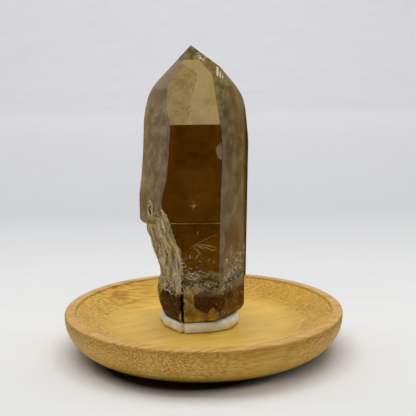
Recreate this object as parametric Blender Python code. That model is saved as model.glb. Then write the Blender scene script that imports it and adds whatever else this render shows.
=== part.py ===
"""A smoky quartz point standing in a pad of putty on a turned bamboo dish.

World units are metres, +Z is up and the front of the crystal faces -Y. The
origin is the middle of the dish's underside. Sizes below are millimetres.
Azimuths are degrees seen from above: 0 faces the front, 90 the right,
180 the back and 270 the left. Heights on the crystal and the putty are taken
from the rim of the dish.
"""
import math

import bmesh
import bpy
from mathutils import Vector, noise

MM = 0.001
GAP = 0.3                       # air left between neighbouring solids

# Dish: one turned piece
RIM_HEIGHT = 15.0               # rim above the table
DISH_RADIUS = 50.0
FOOT_RADIUS = 35.0
FLOOR_RADIUS = 31.0
FLOOR_DEPTH = 5.5               # floor below the rim
RIM_WIDTH = 3.9
DISH_STEPS = 72

# Crystal: upright axis, apex and the lean of the end faces from vertical
AXIS_X = -2.7
LEAN = 0.0105                   # drift of the axis to the right for each unit of height
APEX = Vector((-1.8, 4.6, 93.5))
END_FACE_LEAN = 38.2
FOOT_BOTTOM = -3.4
PRISM_BOTTOM = -6.0
PRISM_TOP = 97.0

# Distance of each prism face from the axis, as (height, distance)
PRISM_FACES = {
    0: ((PRISM_BOTTOM, 16.0), (PRISM_TOP, 16.0)),
    60: ((PRISM_BOTTOM, 14.6), (24.0, 15.1), (57.0, 15.7), (62.0, 15.7), (67.3, 15.15),
         (71.8, 14.6), (78.4, 12.55), (PRISM_TOP, 6.6)),
    120: ((PRISM_BOTTOM, 16.2), (60.0, 16.2), (69.0, 15.5), (75.0, 14.9), (78.0, 13.5),
          (PRISM_TOP, 4.6)),
    180: ((PRISM_BOTTOM, 19.0), (PRISM_TOP, 19.0)),
    240: ((PRISM_BOTTOM, 15.0), (10.0, 16.0), (39.0, 16.9), (57.0, 16.7), (69.0, 16.5),
          (76.0, 15.9), (78.2, 14.9), (PRISM_TOP, 5.4)),
    300: ((PRISM_BOTTOM, 17.4), (39.0, 17.9), (42.0, 17.9), (48.7, 16.5), (57.0, 15.7),
          (67.3, 15.25), (71.8, 14.5), (78.4, 12.05), (PRISM_TOP, 5.1)),
}

# End faces: azimuth, lean, offset outwards from the apex
END_FACES = (
    (0, END_FACE_LEAN, 0.0),
    (60, 33.0, 5.7),
    (120, END_FACE_LEAN, 0.0),
    (180, END_FACE_LEAN, 5.1),
    (240, END_FACE_LEAN, 0.0),
    (300, 41.0, 0.0),
)

# Broken flank on the left: azimuth of each facet, then (height, distance)
FLANK_FACETS = {
    300: ((-3.4, 10.2), (-2.3, 10.9), (0.0, 12.2), (5.0, 12.7), (10.5, 12.3), (17.5, 12.0),
          (24.6, 12.5), (26.3, 13.6), (29.8, 14.7), (33.6, 15.5), (36.7, 16.6), (39.1, 17.9),
          (44.0, 19.6)),
    270: ((-3.4, 9.8), (-2.3, 10.7), (0.0, 11.9), (2.4, 13.2), (6.8, 13.9), (9.1, 13.6),
          (12.0, 12.3), (15.0, 12.7), (18.0, 14.2), (22.0, 16.0), (26.5, 17.4), (32.3, 18.2),
          (44.0, 21.0)),
    225: ((-3.4, 11.0), (1.0, 13.0), (9.0, 14.0), (20.0, 16.6), (44.0, 21.0)),
}
LIP_LOW = 32.6                  # underside of the lip where the flank starts, at the left
LIP_HIGH = 39.6                 # the same line where it meets the front face
LIP_SLOPE = 1.3                 # height over which the lip turns into the flank

# Rounded, broken foot: how far each side draws in from FOOT_TURN to the bottom
FOOT_TURN = 2.6
FOOT_DRAW_IN = ((0, 4.7), (30, 7.8), (52, 4.6), (90, 4.4), (140, 5.0), (157, 8.5),
                (180, 8.0), (204, 8.5), (240, 4.5), (300, 3.6), (360, 4.7))
FOOT_ROUNDING = 2.2
FOOT_CLEFT = (341.0, 5.5, 2.6, 6.0)   # azimuth, half width in degrees, depth, top height
FOOT_ROUGH_TOP = 10.0           # the prism faces are pitted below this height
RIDGE_DEPTH = 0.75
RIDGE_SLANT = 0.7               # degrees that the ridges turn for each unit of height
LUMP_DEPTH = 0.7
PIT_DEPTH = 1.1

BREAK_STEP = 5                  # degrees between the columns of the broken surface
BREAK_ROWS = 34
BREAK_TOP = 43.0

# Scooped chips: azimuth, distance and height of the centre, then three half sizes
CHIPS = (
    (298.0, 18.9, 37.4, (1.8, 1.5, 3.6)),
    (23.4, 19.1, 58.6, (2.1, 2.0, 2.8)),
    (156.0, 21.8, 47.0, (2.6, 2.6, 5.0)),
    (205.0, 22.6, 22.0, (3.6, 5.0, 9.0)),
    (131.0, 20.6, 6.0, (5.0, 7.0, 7.0)),
)

# Putty pad: corners of its outline from the crystal's axis, and its section
PUTTY_CORNERS = ((-4.8, -16.2), (5.5, -14.6), (12.6, -11.0), (15.6, -3.4), (15.0, 6.4),
                 (8.5, 15.4), (-4.6, 16.4), (-11.6, 10.6), (-13.6, 1.4), (-11.6, -6.6))
PUTTY_TOP = -1.9
PUTTY_WALL_TOP = -2.6
PUTTY_BOTTOM = -FLOOR_DEPTH + GAP


def ramp(points, value):
    """Straight-line interpolation through (position, amount) pairs."""
    if value <= points[0][0]:
        return points[0][1]
    for (low, first), (high, second) in zip(points, points[1:]):
        if value <= high:
            return first + (second - first) * (value - low) / (high - low)
    return points[-1][1]


def smooth_step(value):
    value = min(1.0, max(0.0, value))
    return value * value * (3.0 - 2.0 * value)


def direction(azimuth):
    angle = math.radians(azimuth)
    return Vector((math.sin(angle), -math.cos(angle), 0.0))


def away(azimuth, other):
    """Smallest turn between two azimuths, in degrees."""
    return abs((azimuth - other + 180.0) % 360.0 - 180.0)


def nearest_face(faces, azimuth, height):
    """Radius at an azimuth of the outline that the flat faces enclose."""
    radii = []
    for face, profile in faces.items():
        turn = away(azimuth, face)
        if turn < 80.0:
            radii.append(ramp(profile, height) / math.cos(math.radians(turn)))
    return min(radii) if radii else 1000.0


def place(point):
    """From the crystal's leaning axis and the rim height to world metres."""
    x, y, height = point
    return Vector((x + AXIS_X + LEAN * height, y, height + RIM_HEIGHT)) * MM


def make_material(name, colour, roughness):
    material = bpy.data.materials.new(name)
    material.use_nodes = True
    shader = material.node_tree.nodes["Principled BSDF"]
    shader.inputs["Base Color"].default_value = (*colour, 1.0)
    shader.inputs["Roughness"].default_value = roughness
    shader.inputs["Metallic"].default_value = 0.0
    return material


def make_object(name, mesh_builder, material=None):
    mesh = bpy.data.meshes.new(name)
    bmesh.ops.recalc_face_normals(mesh_builder, faces=mesh_builder.faces[:])
    mesh_builder.to_mesh(mesh)
    mesh_builder.free()
    made = bpy.data.objects.new(name, mesh)
    bpy.context.scene.collection.objects.link(made)
    if material:
        mesh.materials.append(material)
    return made


def loft(rings):
    """Closed skin over rings of equal length, capped at both ends."""
    builder = bmesh.new()
    rows = [[builder.verts.new(place(point)) for point in ring] for ring in rings]
    count = len(rows[0])
    for lower, upper in zip(rows, rows[1:]):
        for index in range(count):
            following = (index + 1) % count
            builder.faces.new((lower[index], lower[following], upper[following], upper[index]))
    builder.faces.new(rows[0])
    builder.faces.new(rows[-1])
    return builder


def cut_with(target, cutter, operation):
    modifier = target.modifiers.new(cutter.name, "BOOLEAN")
    modifier.operation = operation
    modifier.solver = "EXACT"
    modifier.object = cutter
    cutter.hide_render = True
    cutter.display_type = "WIRE"


# Crystal

def prism_corner(azimuth, height):
    """Corner between the face at an azimuth and the next face round."""
    first, second = direction(azimuth), direction(azimuth + 60)
    near = ramp(PRISM_FACES[azimuth % 360], height)
    far = ramp(PRISM_FACES[(azimuth + 60) % 360], height)
    scale = first.x * second.y - first.y * second.x
    return Vector(((near * second.y - far * first.y) / scale,
                   (far * first.x - near * second.x) / scale,
                   height))


def build_prism():
    """Six-sided prism with bent shoulders, closed by the six end faces."""
    heights = sorted({height for profile in PRISM_FACES.values() for height, _ in profile})
    builder = loft([[prism_corner(azimuth, height) for azimuth in range(0, 360, 60)]
                    for height in heights])
    for azimuth, lean, offset in END_FACES:
        tilt = math.radians(lean)
        normal = direction(azimuth) * math.cos(tilt) + Vector((0.0, 0.0, math.sin(tilt)))
        geometry = builder.verts[:] + builder.edges[:] + builder.faces[:]
        cut = bmesh.ops.bisect_plane(builder, geom=geometry, plane_co=place(APEX + normal * offset),
                                     plane_no=normal, clear_outer=True, dist=1e-7)
        rim = [edge for edge in cut["geom_cut"] if isinstance(edge, bmesh.types.BMEdge)]
        bmesh.ops.holes_fill(builder, edges=rim)
    bmesh.ops.remove_doubles(builder, verts=builder.verts[:], dist=1e-6)
    return builder


def lip_height(azimuth):
    """Height at which the broken flank starts, by azimuth."""
    return LIP_LOW + (LIP_HIGH - LIP_LOW) * smooth_step((azimuth - 278.0) / 46.0)


def break_radius(azimuth, height):
    """Radius of the broken surface: the flank, the foot and its cleft."""
    prism = nearest_face(PRISM_FACES, azimuth, height)
    clear = prism + 0.6
    radius = clear
    facets = min(nearest_face(FLANK_FACETS, azimuth, height), clear)
    if facets < clear:
        around = math.radians(azimuth + RIDGE_SLANT * height)
        ridge = noise.noise(Vector((14.0 * around, 0.045 * height, 3.7)))
        ridge += 0.5 * noise.noise(Vector((5.0 * around, 0.22 * height, 8.1)))
        facets += RIDGE_DEPTH * ridge * smooth_step((height - 4.0) / 5.0)
        started = smooth_step((lip_height(azimuth) - height) / LIP_SLOPE)
        radius = clear + (min(facets, clear) - clear) * started
    side = direction(azimuth)
    if height < FOOT_ROUGH_TOP:
        pit = noise.noise(Vector((4.2 * side.x, 4.2 * side.y, 0.28 * height + 5.0)))
        pitted = prism + 0.25 - PIT_DEPTH * abs(pit) * smooth_step((FOOT_ROUGH_TOP - height) / 4.0)
        radius = min(radius, pitted)
    if height < FOOT_TURN:
        fall = (FOOT_TURN - height) / (FOOT_TURN - FOOT_BOTTOM)
        draw_in = ramp(FOOT_DRAW_IN, azimuth)
        lump = noise.noise(Vector((2.1 * side.x, 2.1 * side.y, 0.3 * height)))
        rounded = prism - draw_in * fall ** FOOT_ROUNDING + LUMP_DEPTH * lump * fall
        radius = min(radius, rounded)
    cleft_azimuth, half_width, depth, top = FOOT_CLEFT
    turn = away(azimuth, cleft_azimuth)
    if turn <= half_width and height < top:
        share = (1.0 - turn / half_width) * smooth_step((top - height) / 2.5)
        radius = min(radius, prism + 0.6 * (1.0 - share) - depth * share)
    return radius


def break_ring(height, growth=0.0):
    ring = []
    for azimuth in range(0, 360, BREAK_STEP):
        point = direction(azimuth) * (break_radius(azimuth, height) + growth)
        ring.append((point.x, point.y, height))
    return ring


def break_heights():
    span = BREAK_TOP - FOOT_BOTTOM
    return [FOOT_BOTTOM + span * row / BREAK_ROWS for row in range(BREAK_ROWS + 1)]


def build_break_body():
    """Solid that keeps the crystal inside its broken flank and foot."""
    rings = [break_ring(height) for height in break_heights()]
    above = [(2.0 * x, 2.0 * y, BREAK_TOP + 1.0) for x, y, _ in rings[-1]]
    ceiling = [(x, y, PRISM_TOP + 3.0) for x, y, _ in above]
    return loft(rings + [above, ceiling])


def build_chips():
    """Shell-shaped scoops out of the edges and the left face."""
    builder = bmesh.new()
    for azimuth, distance, height, half_sizes in CHIPS:
        made = bmesh.ops.create_icosphere(builder, subdivisions=2, radius=1.0)
        out = direction(azimuth)
        across = Vector((-out.y, out.x, 0.0))
        for vert in made["verts"]:
            local = vert.co.copy()
            spot = out * (distance + local.x * half_sizes[0]) + across * (local.y * half_sizes[1])
            spot.z = height + local.z * half_sizes[2]
            vert.co = place(spot)
    return builder


def build_crystal(material):
    crystal = make_object("quartz_point", build_prism(), material)
    break_body = make_object("crystal_break", build_break_body())
    chips = make_object("crystal_chips", build_chips())
    cut_with(crystal, break_body, "INTERSECT")
    cut_with(crystal, chips, "DIFFERENCE")
    return crystal


# Putty

def putty_radius(azimuth):
    """Radius of the pad's outline, with its corners slightly rounded off."""
    def straight(turned):
        out = direction(turned)
        hits = []
        closed = PUTTY_CORNERS + PUTTY_CORNERS[:1]
        for (x1, y1), (x2, y2) in zip(closed, closed[1:]):
            normal = Vector((y2 - y1, x1 - x2, 0.0)).normalized()
            facing = normal.dot(out)
            if facing > 0.05:
                hits.append((normal.x * x1 + normal.y * y1) / facing)
        return min(hits)
    return (straight(azimuth - 4.0) + 2.0 * straight(azimuth) + straight(azimuth + 4.0)) / 4.0


def putty_ring(height, inset):
    ring = []
    for azimuth in range(0, 360, BREAK_STEP):
        point = direction(azimuth) * (putty_radius(azimuth) - inset)
        ring.append((point.x, point.y, height))
    return ring


def build_putty(material):
    """Pressed pad: a low pillow with the socket that the crystal stands in."""
    clearance = GAP + 0.1
    socket_floor = FOOT_BOTTOM - GAP
    socket_heights = [height for height in break_heights() if height < PUTTY_TOP]
    socket = [break_ring(height, clearance) for height in reversed(socket_heights)]
    floor_ring = [(x, y, socket_floor) for x, y, _ in socket[-1]]
    lip = break_ring(PUTTY_TOP, clearance)
    crest = [((inner[0] + 2.0 * outer[0]) / 3.0, (inner[1] + 2.0 * outer[1]) / 3.0, PUTTY_TOP)
             for inner, outer in zip(lip, putty_ring(PUTTY_TOP, 0.4))]
    rings = [putty_ring(PUTTY_BOTTOM, 0.9), putty_ring(PUTTY_BOTTOM + 0.6, 0.2),
             putty_ring(0.5 * (PUTTY_BOTTOM + PUTTY_WALL_TOP), 0.0),
             putty_ring(PUTTY_WALL_TOP, 0.3), crest, lip]
    return make_object("putty_pad", loft(rings + socket + [floor_ring]), material)


# Dish

def dish_profile():
    """Half section from the middle of the underside round to the middle of the floor."""
    inner_edge = DISH_RADIUS - RIM_WIDTH
    floor = RIM_HEIGHT - FLOOR_DEPTH
    points = [(0.0, 0.0), (FOOT_RADIUS - 0.8, 0.0), (FOOT_RADIUS, 0.4)]
    for step in range(1, 6):
        turn = math.radians(18.0 * step)
        points.append((FOOT_RADIUS + (DISH_RADIUS - FOOT_RADIUS) * math.sin(turn),
                       0.4 + (RIM_HEIGHT - 2.0) * (1.0 - math.cos(turn))))
    points += [(DISH_RADIUS - 0.1, RIM_HEIGHT - 0.6), (DISH_RADIUS - 0.9, RIM_HEIGHT),
               (DISH_RADIUS - 2.4, RIM_HEIGHT + 0.3), (inner_edge, RIM_HEIGHT - 0.1)]
    for step in range(1, 5):
        share = step / 4.0
        points.append((inner_edge + (FLOOR_RADIUS - inner_edge) * share,
                       RIM_HEIGHT - 0.1 - (FLOOR_DEPTH - 0.1) * math.sin(share * math.pi / 2)))
    points.append((0.0, floor))
    return points


def build_dish(material):
    """Turned dish: the half section spun once round the upright axis."""
    builder = bmesh.new()
    verts = [builder.verts.new((radius * MM, 0.0, height * MM)) for radius, height in dish_profile()]
    edges = [builder.edges.new(pair) for pair in zip(verts, verts[1:])]
    bmesh.ops.spin(builder, geom=verts + edges, axis=(0, 0, 1), cent=(0, 0, 0),
                   angle=math.tau, steps=DISH_STEPS, use_merge=True)
    bmesh.ops.remove_doubles(builder, verts=builder.verts[:], dist=1e-6)
    dish = make_object("bamboo_dish", builder, material)
    dish.data.shade_smooth()
    dish.data.set_sharp_from_angle(angle=math.radians(35))
    return dish


def main():
    for old in list(bpy.data.objects):
        bpy.data.objects.remove(old)
    build_crystal(make_material("smoky_quartz", (0.16, 0.10, 0.05), 0.15))
    build_putty(make_material("putty", (0.70, 0.67, 0.57), 0.6))
    build_dish(make_material("bamboo", (0.60, 0.37, 0.13), 0.45))


main()
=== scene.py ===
"""Looks of a smoky quartz point that stands in putty on a turned bamboo dish.

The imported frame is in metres, +Z up, with the front of the crystal facing -Y
and the origin in the middle of the dish's underside. Shape sizes below are
millimetres. Azimuths are degrees seen from above: 0 faces the front, 90 the
right, 180 the back and 270 the left. Heights on the crystal and the putty are
taken from the rim of the dish.
"""

import math
from functools import cached_property, partialmethod

import bmesh
import bpy
from bpy.props import FloatProperty, FloatVectorProperty, IntProperty, PointerProperty
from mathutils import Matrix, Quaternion, Vector, noise


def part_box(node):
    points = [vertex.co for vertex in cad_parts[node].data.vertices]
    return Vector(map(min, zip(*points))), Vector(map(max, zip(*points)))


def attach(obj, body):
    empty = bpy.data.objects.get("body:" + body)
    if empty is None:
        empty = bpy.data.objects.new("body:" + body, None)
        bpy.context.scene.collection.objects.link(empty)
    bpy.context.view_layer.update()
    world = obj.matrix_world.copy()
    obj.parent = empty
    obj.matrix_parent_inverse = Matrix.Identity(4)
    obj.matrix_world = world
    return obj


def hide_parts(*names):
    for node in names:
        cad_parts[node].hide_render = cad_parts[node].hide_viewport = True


bl_info = {
    "name": "Smoky Quartz Point on a Bamboo Dish",
    "version": (1, 0, 0),
    "blender": (4, 5, 0),
    "location": "View3D > Sidebar > Quartz Point",
    "description": "Builds the crystal, its flaws and stains, the putty, the dish and the studio",
    "category": "Add Mesh",
}

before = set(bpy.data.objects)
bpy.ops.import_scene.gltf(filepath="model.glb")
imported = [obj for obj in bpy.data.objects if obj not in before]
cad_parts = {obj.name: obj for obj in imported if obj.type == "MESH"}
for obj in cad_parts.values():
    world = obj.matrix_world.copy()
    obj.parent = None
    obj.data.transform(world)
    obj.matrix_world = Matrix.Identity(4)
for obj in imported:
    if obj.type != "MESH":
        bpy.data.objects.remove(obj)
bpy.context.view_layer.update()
_, DISH_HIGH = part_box("bamboo_dish")

MM = 0.001
BODY = "root"

# Dish section, as in the solid
RIM_CROWN = 0.3                 # the rim's rounded top above its nominal height
RIM_HEIGHT = DISH_HIGH.z / MM - RIM_CROWN
FOOT_RADIUS = 35.0
FLOOR_RADIUS = 31.0
FLOOR_DEPTH = 5.5
RIM_WIDTH = 3.9
STEP_DEPTH = 0.5                # small step from the rim down to the inner slope
KNOT = (-32.0, 28.5, 12.0)      # middle of the brown, wavy grain on the inner slope

# Crystal: upright axis, apex and end faces
AXIS_X = -2.7
LEAN = 0.0105
APEX = Vector((-1.8, 4.6, 93.5))
END_FACE_LEAN = 38.2
FOOT_BOTTOM = -3.4
PRISM_BOTTOM = -6.0
PRISM_TOP = 97.0
FILM_LIFT = 0.02                # distance of the surface haze from the crystal
PRISM_FACES = {
    0: ((PRISM_BOTTOM, 16.0), (PRISM_TOP, 16.0)),
    60: ((PRISM_BOTTOM, 14.6), (24.0, 15.1), (57.0, 15.7), (62.0, 15.7), (67.3, 15.15),
         (71.8, 14.6), (78.4, 12.55), (PRISM_TOP, 6.6)),
    117: ((PRISM_BOTTOM, 16.5), (60.0, 16.65), (69.0, 15.95), (75.0, 15.35), (78.0, 13.9),
          (PRISM_TOP, 4.9)),
    180: ((PRISM_BOTTOM, 19.0), (PRISM_TOP, 19.0)),
    250: ((PRISM_BOTTOM, 16.8), (10.0, 17.65), (39.0, 18.5), (57.0, 17.9), (69.0, 17.55),
          (76.0, 16.7), (78.2, 15.6), (PRISM_TOP, 5.8)),
    300: ((PRISM_BOTTOM, 17.4), (39.0, 17.9), (42.0, 17.9), (48.7, 16.5), (57.0, 15.7),
          (67.3, 15.25), (71.8, 14.5), (78.4, 12.05), (PRISM_TOP, 5.1)),
}
END_FACES = (
    (0, END_FACE_LEAN, 0.0),
    (60, 33.0, 5.7),
    (120, END_FACE_LEAN, 0.0),
    (180, END_FACE_LEAN, 5.1),
    (240, END_FACE_LEAN, 0.0),
    (300, 41.0, 0.0),
)

# Broken flank: azimuth of each facet, then (height, distance)
FLANK_FACETS = {
    300: ((-3.4, 10.2), (-2.3, 10.9), (0.0, 12.2), (5.0, 12.7), (10.5, 12.3), (17.5, 12.0),
          (24.6, 12.5), (26.3, 13.6), (29.8, 14.7), (33.6, 15.5), (36.7, 16.6), (39.1, 17.9),
          (44.0, 19.6)),
    270: ((-3.4, 9.8), (-2.3, 10.7), (0.0, 11.9), (2.4, 13.2), (6.8, 13.9), (9.1, 13.6),
          (12.0, 12.3), (15.0, 12.7), (18.0, 14.2), (22.0, 16.0), (26.5, 17.4), (32.3, 18.2),
          (44.0, 21.0)),
    225: ((-3.4, 14.0), (1.0, 15.6), (9.0, 17.2), (18.0, 19.2), (28.0, 22.5), (44.0, 26.0)),
}
LIP_LOW = 32.6
LIP_HIGH = 39.6
LIP_SLOPE = 1.3
LIP_RAGGEDNESS = 1.6

# Rounded, pitted foot
FOOT_TURN = 2.6
FOOT_DRAW_IN = ((0, 4.7), (30, 7.8), (52, 4.6), (90, 4.4), (140, 5.0), (157, 8.5),
                (180, 8.0), (204, 8.5), (240, 4.5), (300, 3.6), (360, 4.7))
FOOT_ROUNDING = 2.2
FOOT_CLEFT = (343.0, 2.3, 2.8, 8.8)     # azimuth, half width in degrees, depth, top height
CLEFT_WANDER = 1.6
FOOT_ROUGH_TOP = 10.0
FOOT_EDGE = ((0, 12.5), (20, 10.6), (45, 13.5), (60, 15.0), (90, 12.0), (120, 9.0), (150, 11.0),
             (180, 10.0), (210, 12.0), (240, 10.0), (270, 13.0), (300, 12.0), (318, 9.5),
             (336, 7.4), (345, 10.0), (352, 13.0), (360, 12.5))
LEDGE_DEPTH = 0.45              # how far the surface steps back below the foot's edge
RIDGE_DEPTH = 0.75
RIDGE_SLANT = 0.7
LUMP_DEPTH = 0.7
PIT_DEPTH = 1.1
FINE_RIDGE_DEPTH = 0.45         # finer relief that only the finished surface has
FINE_PIT_DEPTH = 0.22
BREAK_TOP = 43.0
# Scooped chips: azimuth, distance, height, three half sizes
CHIPS = (
    (298.0, 18.9, 37.4, (2.2, 2.5, 3.9)),
    (205.0, 22.6, 12.0, (3.6, 5.0, 9.0)),
    (131.0, 20.6, 6.0, (5.0, 7.0, 7.0)),
)
# Clear patches on the broken foot: azimuth, distance, height, radius
GLASSY_PATCHES = (
    (313.0, 13.2, 2.6, 7.6),
    (331.0, 14.4, 4.6, 4.6),
    (12.0, 16.0, 6.6, 4.4),
    (33.0, 17.4, 5.0, 3.6),
    (50.0, 16.0, 8.5, 3.4),
)
# Ridges and open cracks of the break: half thickness, then azimuth and height along the line,
# with the distance too where the line lies in a chip
RIDGE_LINES = (
    (0.20, (291.3, 32.5), (295.0, 30.4), (296.9, 27.6), (298.8, 24.6), (308.6, 22.1),
     (314.3, 19.5), (318.2, 18.6)),
    (0.16, (321.3, 17.6), (328.9, 15.5), (333.1, 12.9), (338.1, 10.7)),
    (0.13, (289.3, 33.3), (289.5, 32.2), (276.2, 29.2), (277.3, 25.9)),
    (0.20, (328.2, 24.6), (337.0, 24.6)),
    (0.16, (329.4, 23.7), (338.0, 24.0)),
    (0.16, (275.0, 9.6), (284.8, 8.9), (291.0, 9.6), (297.7, 8.8), (305.1, 8.0), (309.0, 9.0),
     (313.1, 8.2), (324.9, 7.6), (329.0, 8.2), (333.5, 7.2), (337.1, 7.4)),
    (0.12, (279.0, 8.2), (288.0, 8.5), (300.0, 7.9), (308.0, 8.4), (319.0, 7.5), (328.0, 7.9)),
    (0.17, (291.5, 39.4, 18.1), (292.1, 38.6, 17.7), (293.7, 37.3, 17.2), (295.8, 36.0, 17.0),
     (297.4, 34.9, 17.2)),
    (0.12, (333.0, 28.0), (335.5, 24.2), (340.1, 20.2), (341.7, 17.4), (341.5, 14.0)),
)
# The open cracks are drawn as dark tubes: painted shade in the cracks.
CRACK_LINES = (
    (0.24, (293.7, 23.7), (299.8, 21.7), (310.4, 20.1), (313.8, 18.7)),
    (0.16, (283.5, 31.4), (276.4, 28.8), (277.7, 26.7), (275.5, 24.0)),
    (0.34, (292.3, 38.6, 17.6), (293.1, 36.8, 17.3), (295.1, 35.2, 17.3)),
    (0.24, (303.9, 39.6, 17.9), (306.5, 37.3, 17.9), (299.2, 34.8, 17.1)),
)
# White lines of healed cracks inside: half thickness, then x and height along the line
WISP_DEPTH = -13.2
WISP_LINES = (
    (0.08, (-1.0, 25.6), (0.5, 26.0), (2.9, 25.9), (5.3, 25.5), (7.0, 25.0)),
    (0.06, (-0.4, 25.2), (1.5, 25.3), (3.6, 25.0), (4.8, 25.4)),
    (0.07, (-0.9, 24.9), (0.5, 24.4), (1.2, 23.0), (2.5, 22.6)),
    (0.06, (1.2, 25.6), (1.9, 24.6), (3.2, 24.4)),
    (0.07, (3.9, 25.2), (5.3, 24.1), (6.3, 24.0), (7.0, 24.8)),
    (0.08, (0.5, 16.5), (1.8, 16.5), (3.2, 16.1), (4.9, 15.2)),
    (0.06, (-3.8, 14.6), (-2.6, 15.8), (-1.0, 15.9), (0.2, 15.1)),
    (0.06, (2.0, 14.2), (3.6, 14.9), (5.2, 14.3), (6.9, 14.9)),
    (0.035, (-3.3, 23.4), (-1.9, 24.6), (0.2, 26.3), (2.5, 27.5), (5.3, 28.7), (8.0, 29.9)),
    (0.07, (0.7, 30.8), (0.8, 29.4)),
    (0.06, (-8.5, 33.6), (-6.6, 33.5)),
    (0.06, (-4.2, 33.4), (-2.6, 33.4)),
)
# Flat cuts off the long edges: azimuth, distance, height, three half sizes, turn
FLAT_CHIPS = (
    (27.5, 18.3, 58.4, (1.4, 1.9, 3.3), 20.0),
    (300.5, 17.4, 73.5, (0.9, 1.1, 1.8), 45.0),
    (271.0, 19.3, 70.0, (0.8, 1.2, 2.6), 10.0),
)

GROWTH_LINE = 33.8 + RIM_HEIGHT     # height of the fine line across the faces, from the table

# Tan, etched part of the front end face, in its own (x, height) from the rim
TAN_TOP = 88.6
TAN_BENDS = ((7.6, 70.9, -0.15), (5.65, 83.6, -0.935))      # x, height, slope of the right edge
ETCH_BENDS = ((0.1, 83.8, -1.5), (-0.5, 79.1, 0.2))         # the same for the etched part
ETCH_FADE = (76.5, 80.0)                                    # heights over which its edge fades
RINGS = (-3.2, 83.0)                                        # middle of its small curls
# Painted highlights, as bright strips beside the tan part: x, height, half width, half length
PAINTED_GLINT_STRIPS = ((7.55, 84.5, 0.30, 1.3), (8.5, 83.4, 0.16, 0.9), (9.3, 82.9, 0.14, 0.6))
FLECKS = (2.4, 89.8, 2.6)                                   # x, height, reach of the apex flecks

# Sheets inside the crystal: centre (x, y, height), half width, half height, roll in the sheet's
# plane, turn about the upright axis, tip backwards, all in degrees
VEILS = (
    ((2.6, -8.0, 18.0), 9.5, 7.2, 24.0, 8.0, 14.0),
    ((2.8, -11.0, 13.0), 8.5, 3.6, 6.0, -12.0, -22.0),
    ((9.0, 2.0, 18.0), 6.0, 9.0, -12.0, 50.0, 10.0),
    ((-3.0, -3.0, 30.0), 3.6, 5.0, 30.0, -40.0, 25.0),
    ((2.0, -6.0, 44.0), 6.5, 9.0, 12.0, 10.0, 8.0),
)
SMOKE_ZONES = (
    ((0.0, -9.0, 61.0), 8.0, 7.0, 4.0, 3.0, 8.0),
    ((0.5, -6.0, 54.0), 9.0, 3.6, -6.0, -5.0, -6.0),
    ((0.0, -8.0, 30.3), 9.5, 3.4, 0.0, 4.0, 0.0),
)
VEIL_THICKNESS = 0.05
STAR = (-0.6, -13.0, 39.5)

# Putty pad
PUTTY_CORNERS = ((-4.8, -16.2), (5.5, -14.6), (12.6, -11.0), (15.6, -3.4), (15.0, 6.4),
                 (8.5, 15.4), (-4.6, 16.4), (-11.6, 10.6), (-13.6, 1.4), (-11.6, -6.6))
PUTTY_TOP = -1.9
PUTTY_LUMP = 0.32
PUTTY_PINCH = 343.5             # azimuth of the fold pinched into the front corner
PUTTY_BOTTOM = -FLOOR_DEPTH + 0.05
PUTTY_CONTACT = 0.06            # gap that is left between the putty and the crystal

# Camera, lights and cards: places and sizes in metres
CAMERA_PLACE = Vector((1.95, -316.0, 107.0)) * MM
CAMERA_DROP = 10.0
CAMERA_ROLL = 0.6
CAMERA_SENSOR = 36.0
CAMERA_LENS = CAMERA_SENSOR * 900.0 / 416.0
CARD_HEIGHT = 0.001
# Name, span across, span along, rise towards the far side, grey level
CARDS = (
    ("front_card", (-0.45, 0.45), (-1.8, -0.075), 0.0, 0.0),
    ("right_card", (0.07, 0.65), (-0.05, 1.2), 0.35, 0.03),
    ("left_card", (-0.07, -0.65), (-0.05, 1.2), 0.35, 0.14),
)
# Name, place, aim, size, setting of its power
SOFTBOXES = (
    ("softbox", (0.0, 0.2, 0.9), (0.0, 0.14, 0.0), (1.1, 0.62), "key_power"),
    ("front_softbox", (0.0, -0.6, 0.85), (0.0, 0.0, 0.05), (1.2, 0.2), "fill_power"),
    ("wall_softbox", (0.0, 0.95, 0.8), (0.0, 1.6, 0.1), (1.6, 0.3), "wall_power"),
)
SEEN_ROOM_LEVEL = 0.68
LIGHT_BOUNCES = 24
MATT = {"Roughness": 0.9, "Specular_IOR_Level": 0.0}

# Threads, crumbs and hairs of the broken surface, in metres
THREAD_STEPS = 26
THREAD_SIDES = 5
THREAD_WANDER = 0.0006
CRUMB_SEED = 7
CRUMB_SIZES = (0.00005, 0.00022)
HAIR_SEED = 3
HAIR_DENSITY = 3.8e6            # hairs for each square metre
HAIR_SIZES = (0.00025, 0.00075)
HAIR_BAND = (RIM_HEIGHT * MM + 0.0083, RIM_HEIGHT * MM + 0.0165)

# Patterns: turns in radians, sizes and heights in metres
UNTURNED = (0.0, 0.0, 0.0)
FULL_TURNS = (math.tau, math.tau, math.tau)
FLANK_STREAK_LEAN = math.radians(17.0)
FOOT_FADE = (0.0225, 0.0275)            # heights over which the foot's stain ends
PATCH_WANDER = 0.0035
BUNDLE_PACKING = (90.0, 2150.0, 1600.0)     # fibre bundles for each metre: along, across, up

# Colours of the crystal's film
DUST = ((0.48, 0.36, 0.21), (0.70, 0.56, 0.34))
TAN = (0.55, 0.40, 0.165)
OLIVE = ((0.40, 0.32, 0.12), (0.23, 0.17, 0.05))
LEFT_END = (0.52, 0.45, 0.36)
FLANK = ((0.33, 0.24, 0.09), (0.72, 0.57, 0.31))
THREAD = (0.93, 0.80, 0.52)
FLANK_CRACK = (0.15, 0.095, 0.03)
DIRT = ((0.050, 0.030, 0.004), (0.11, 0.075, 0.018))
SPLINTER = (0.58, 0.46, 0.22)
STAIN = ((0.27, 0.15, 0.008), (0.48, 0.32, 0.05))
RIGHT_STAIN = (0.16, 0.068, 0.001)
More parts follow.
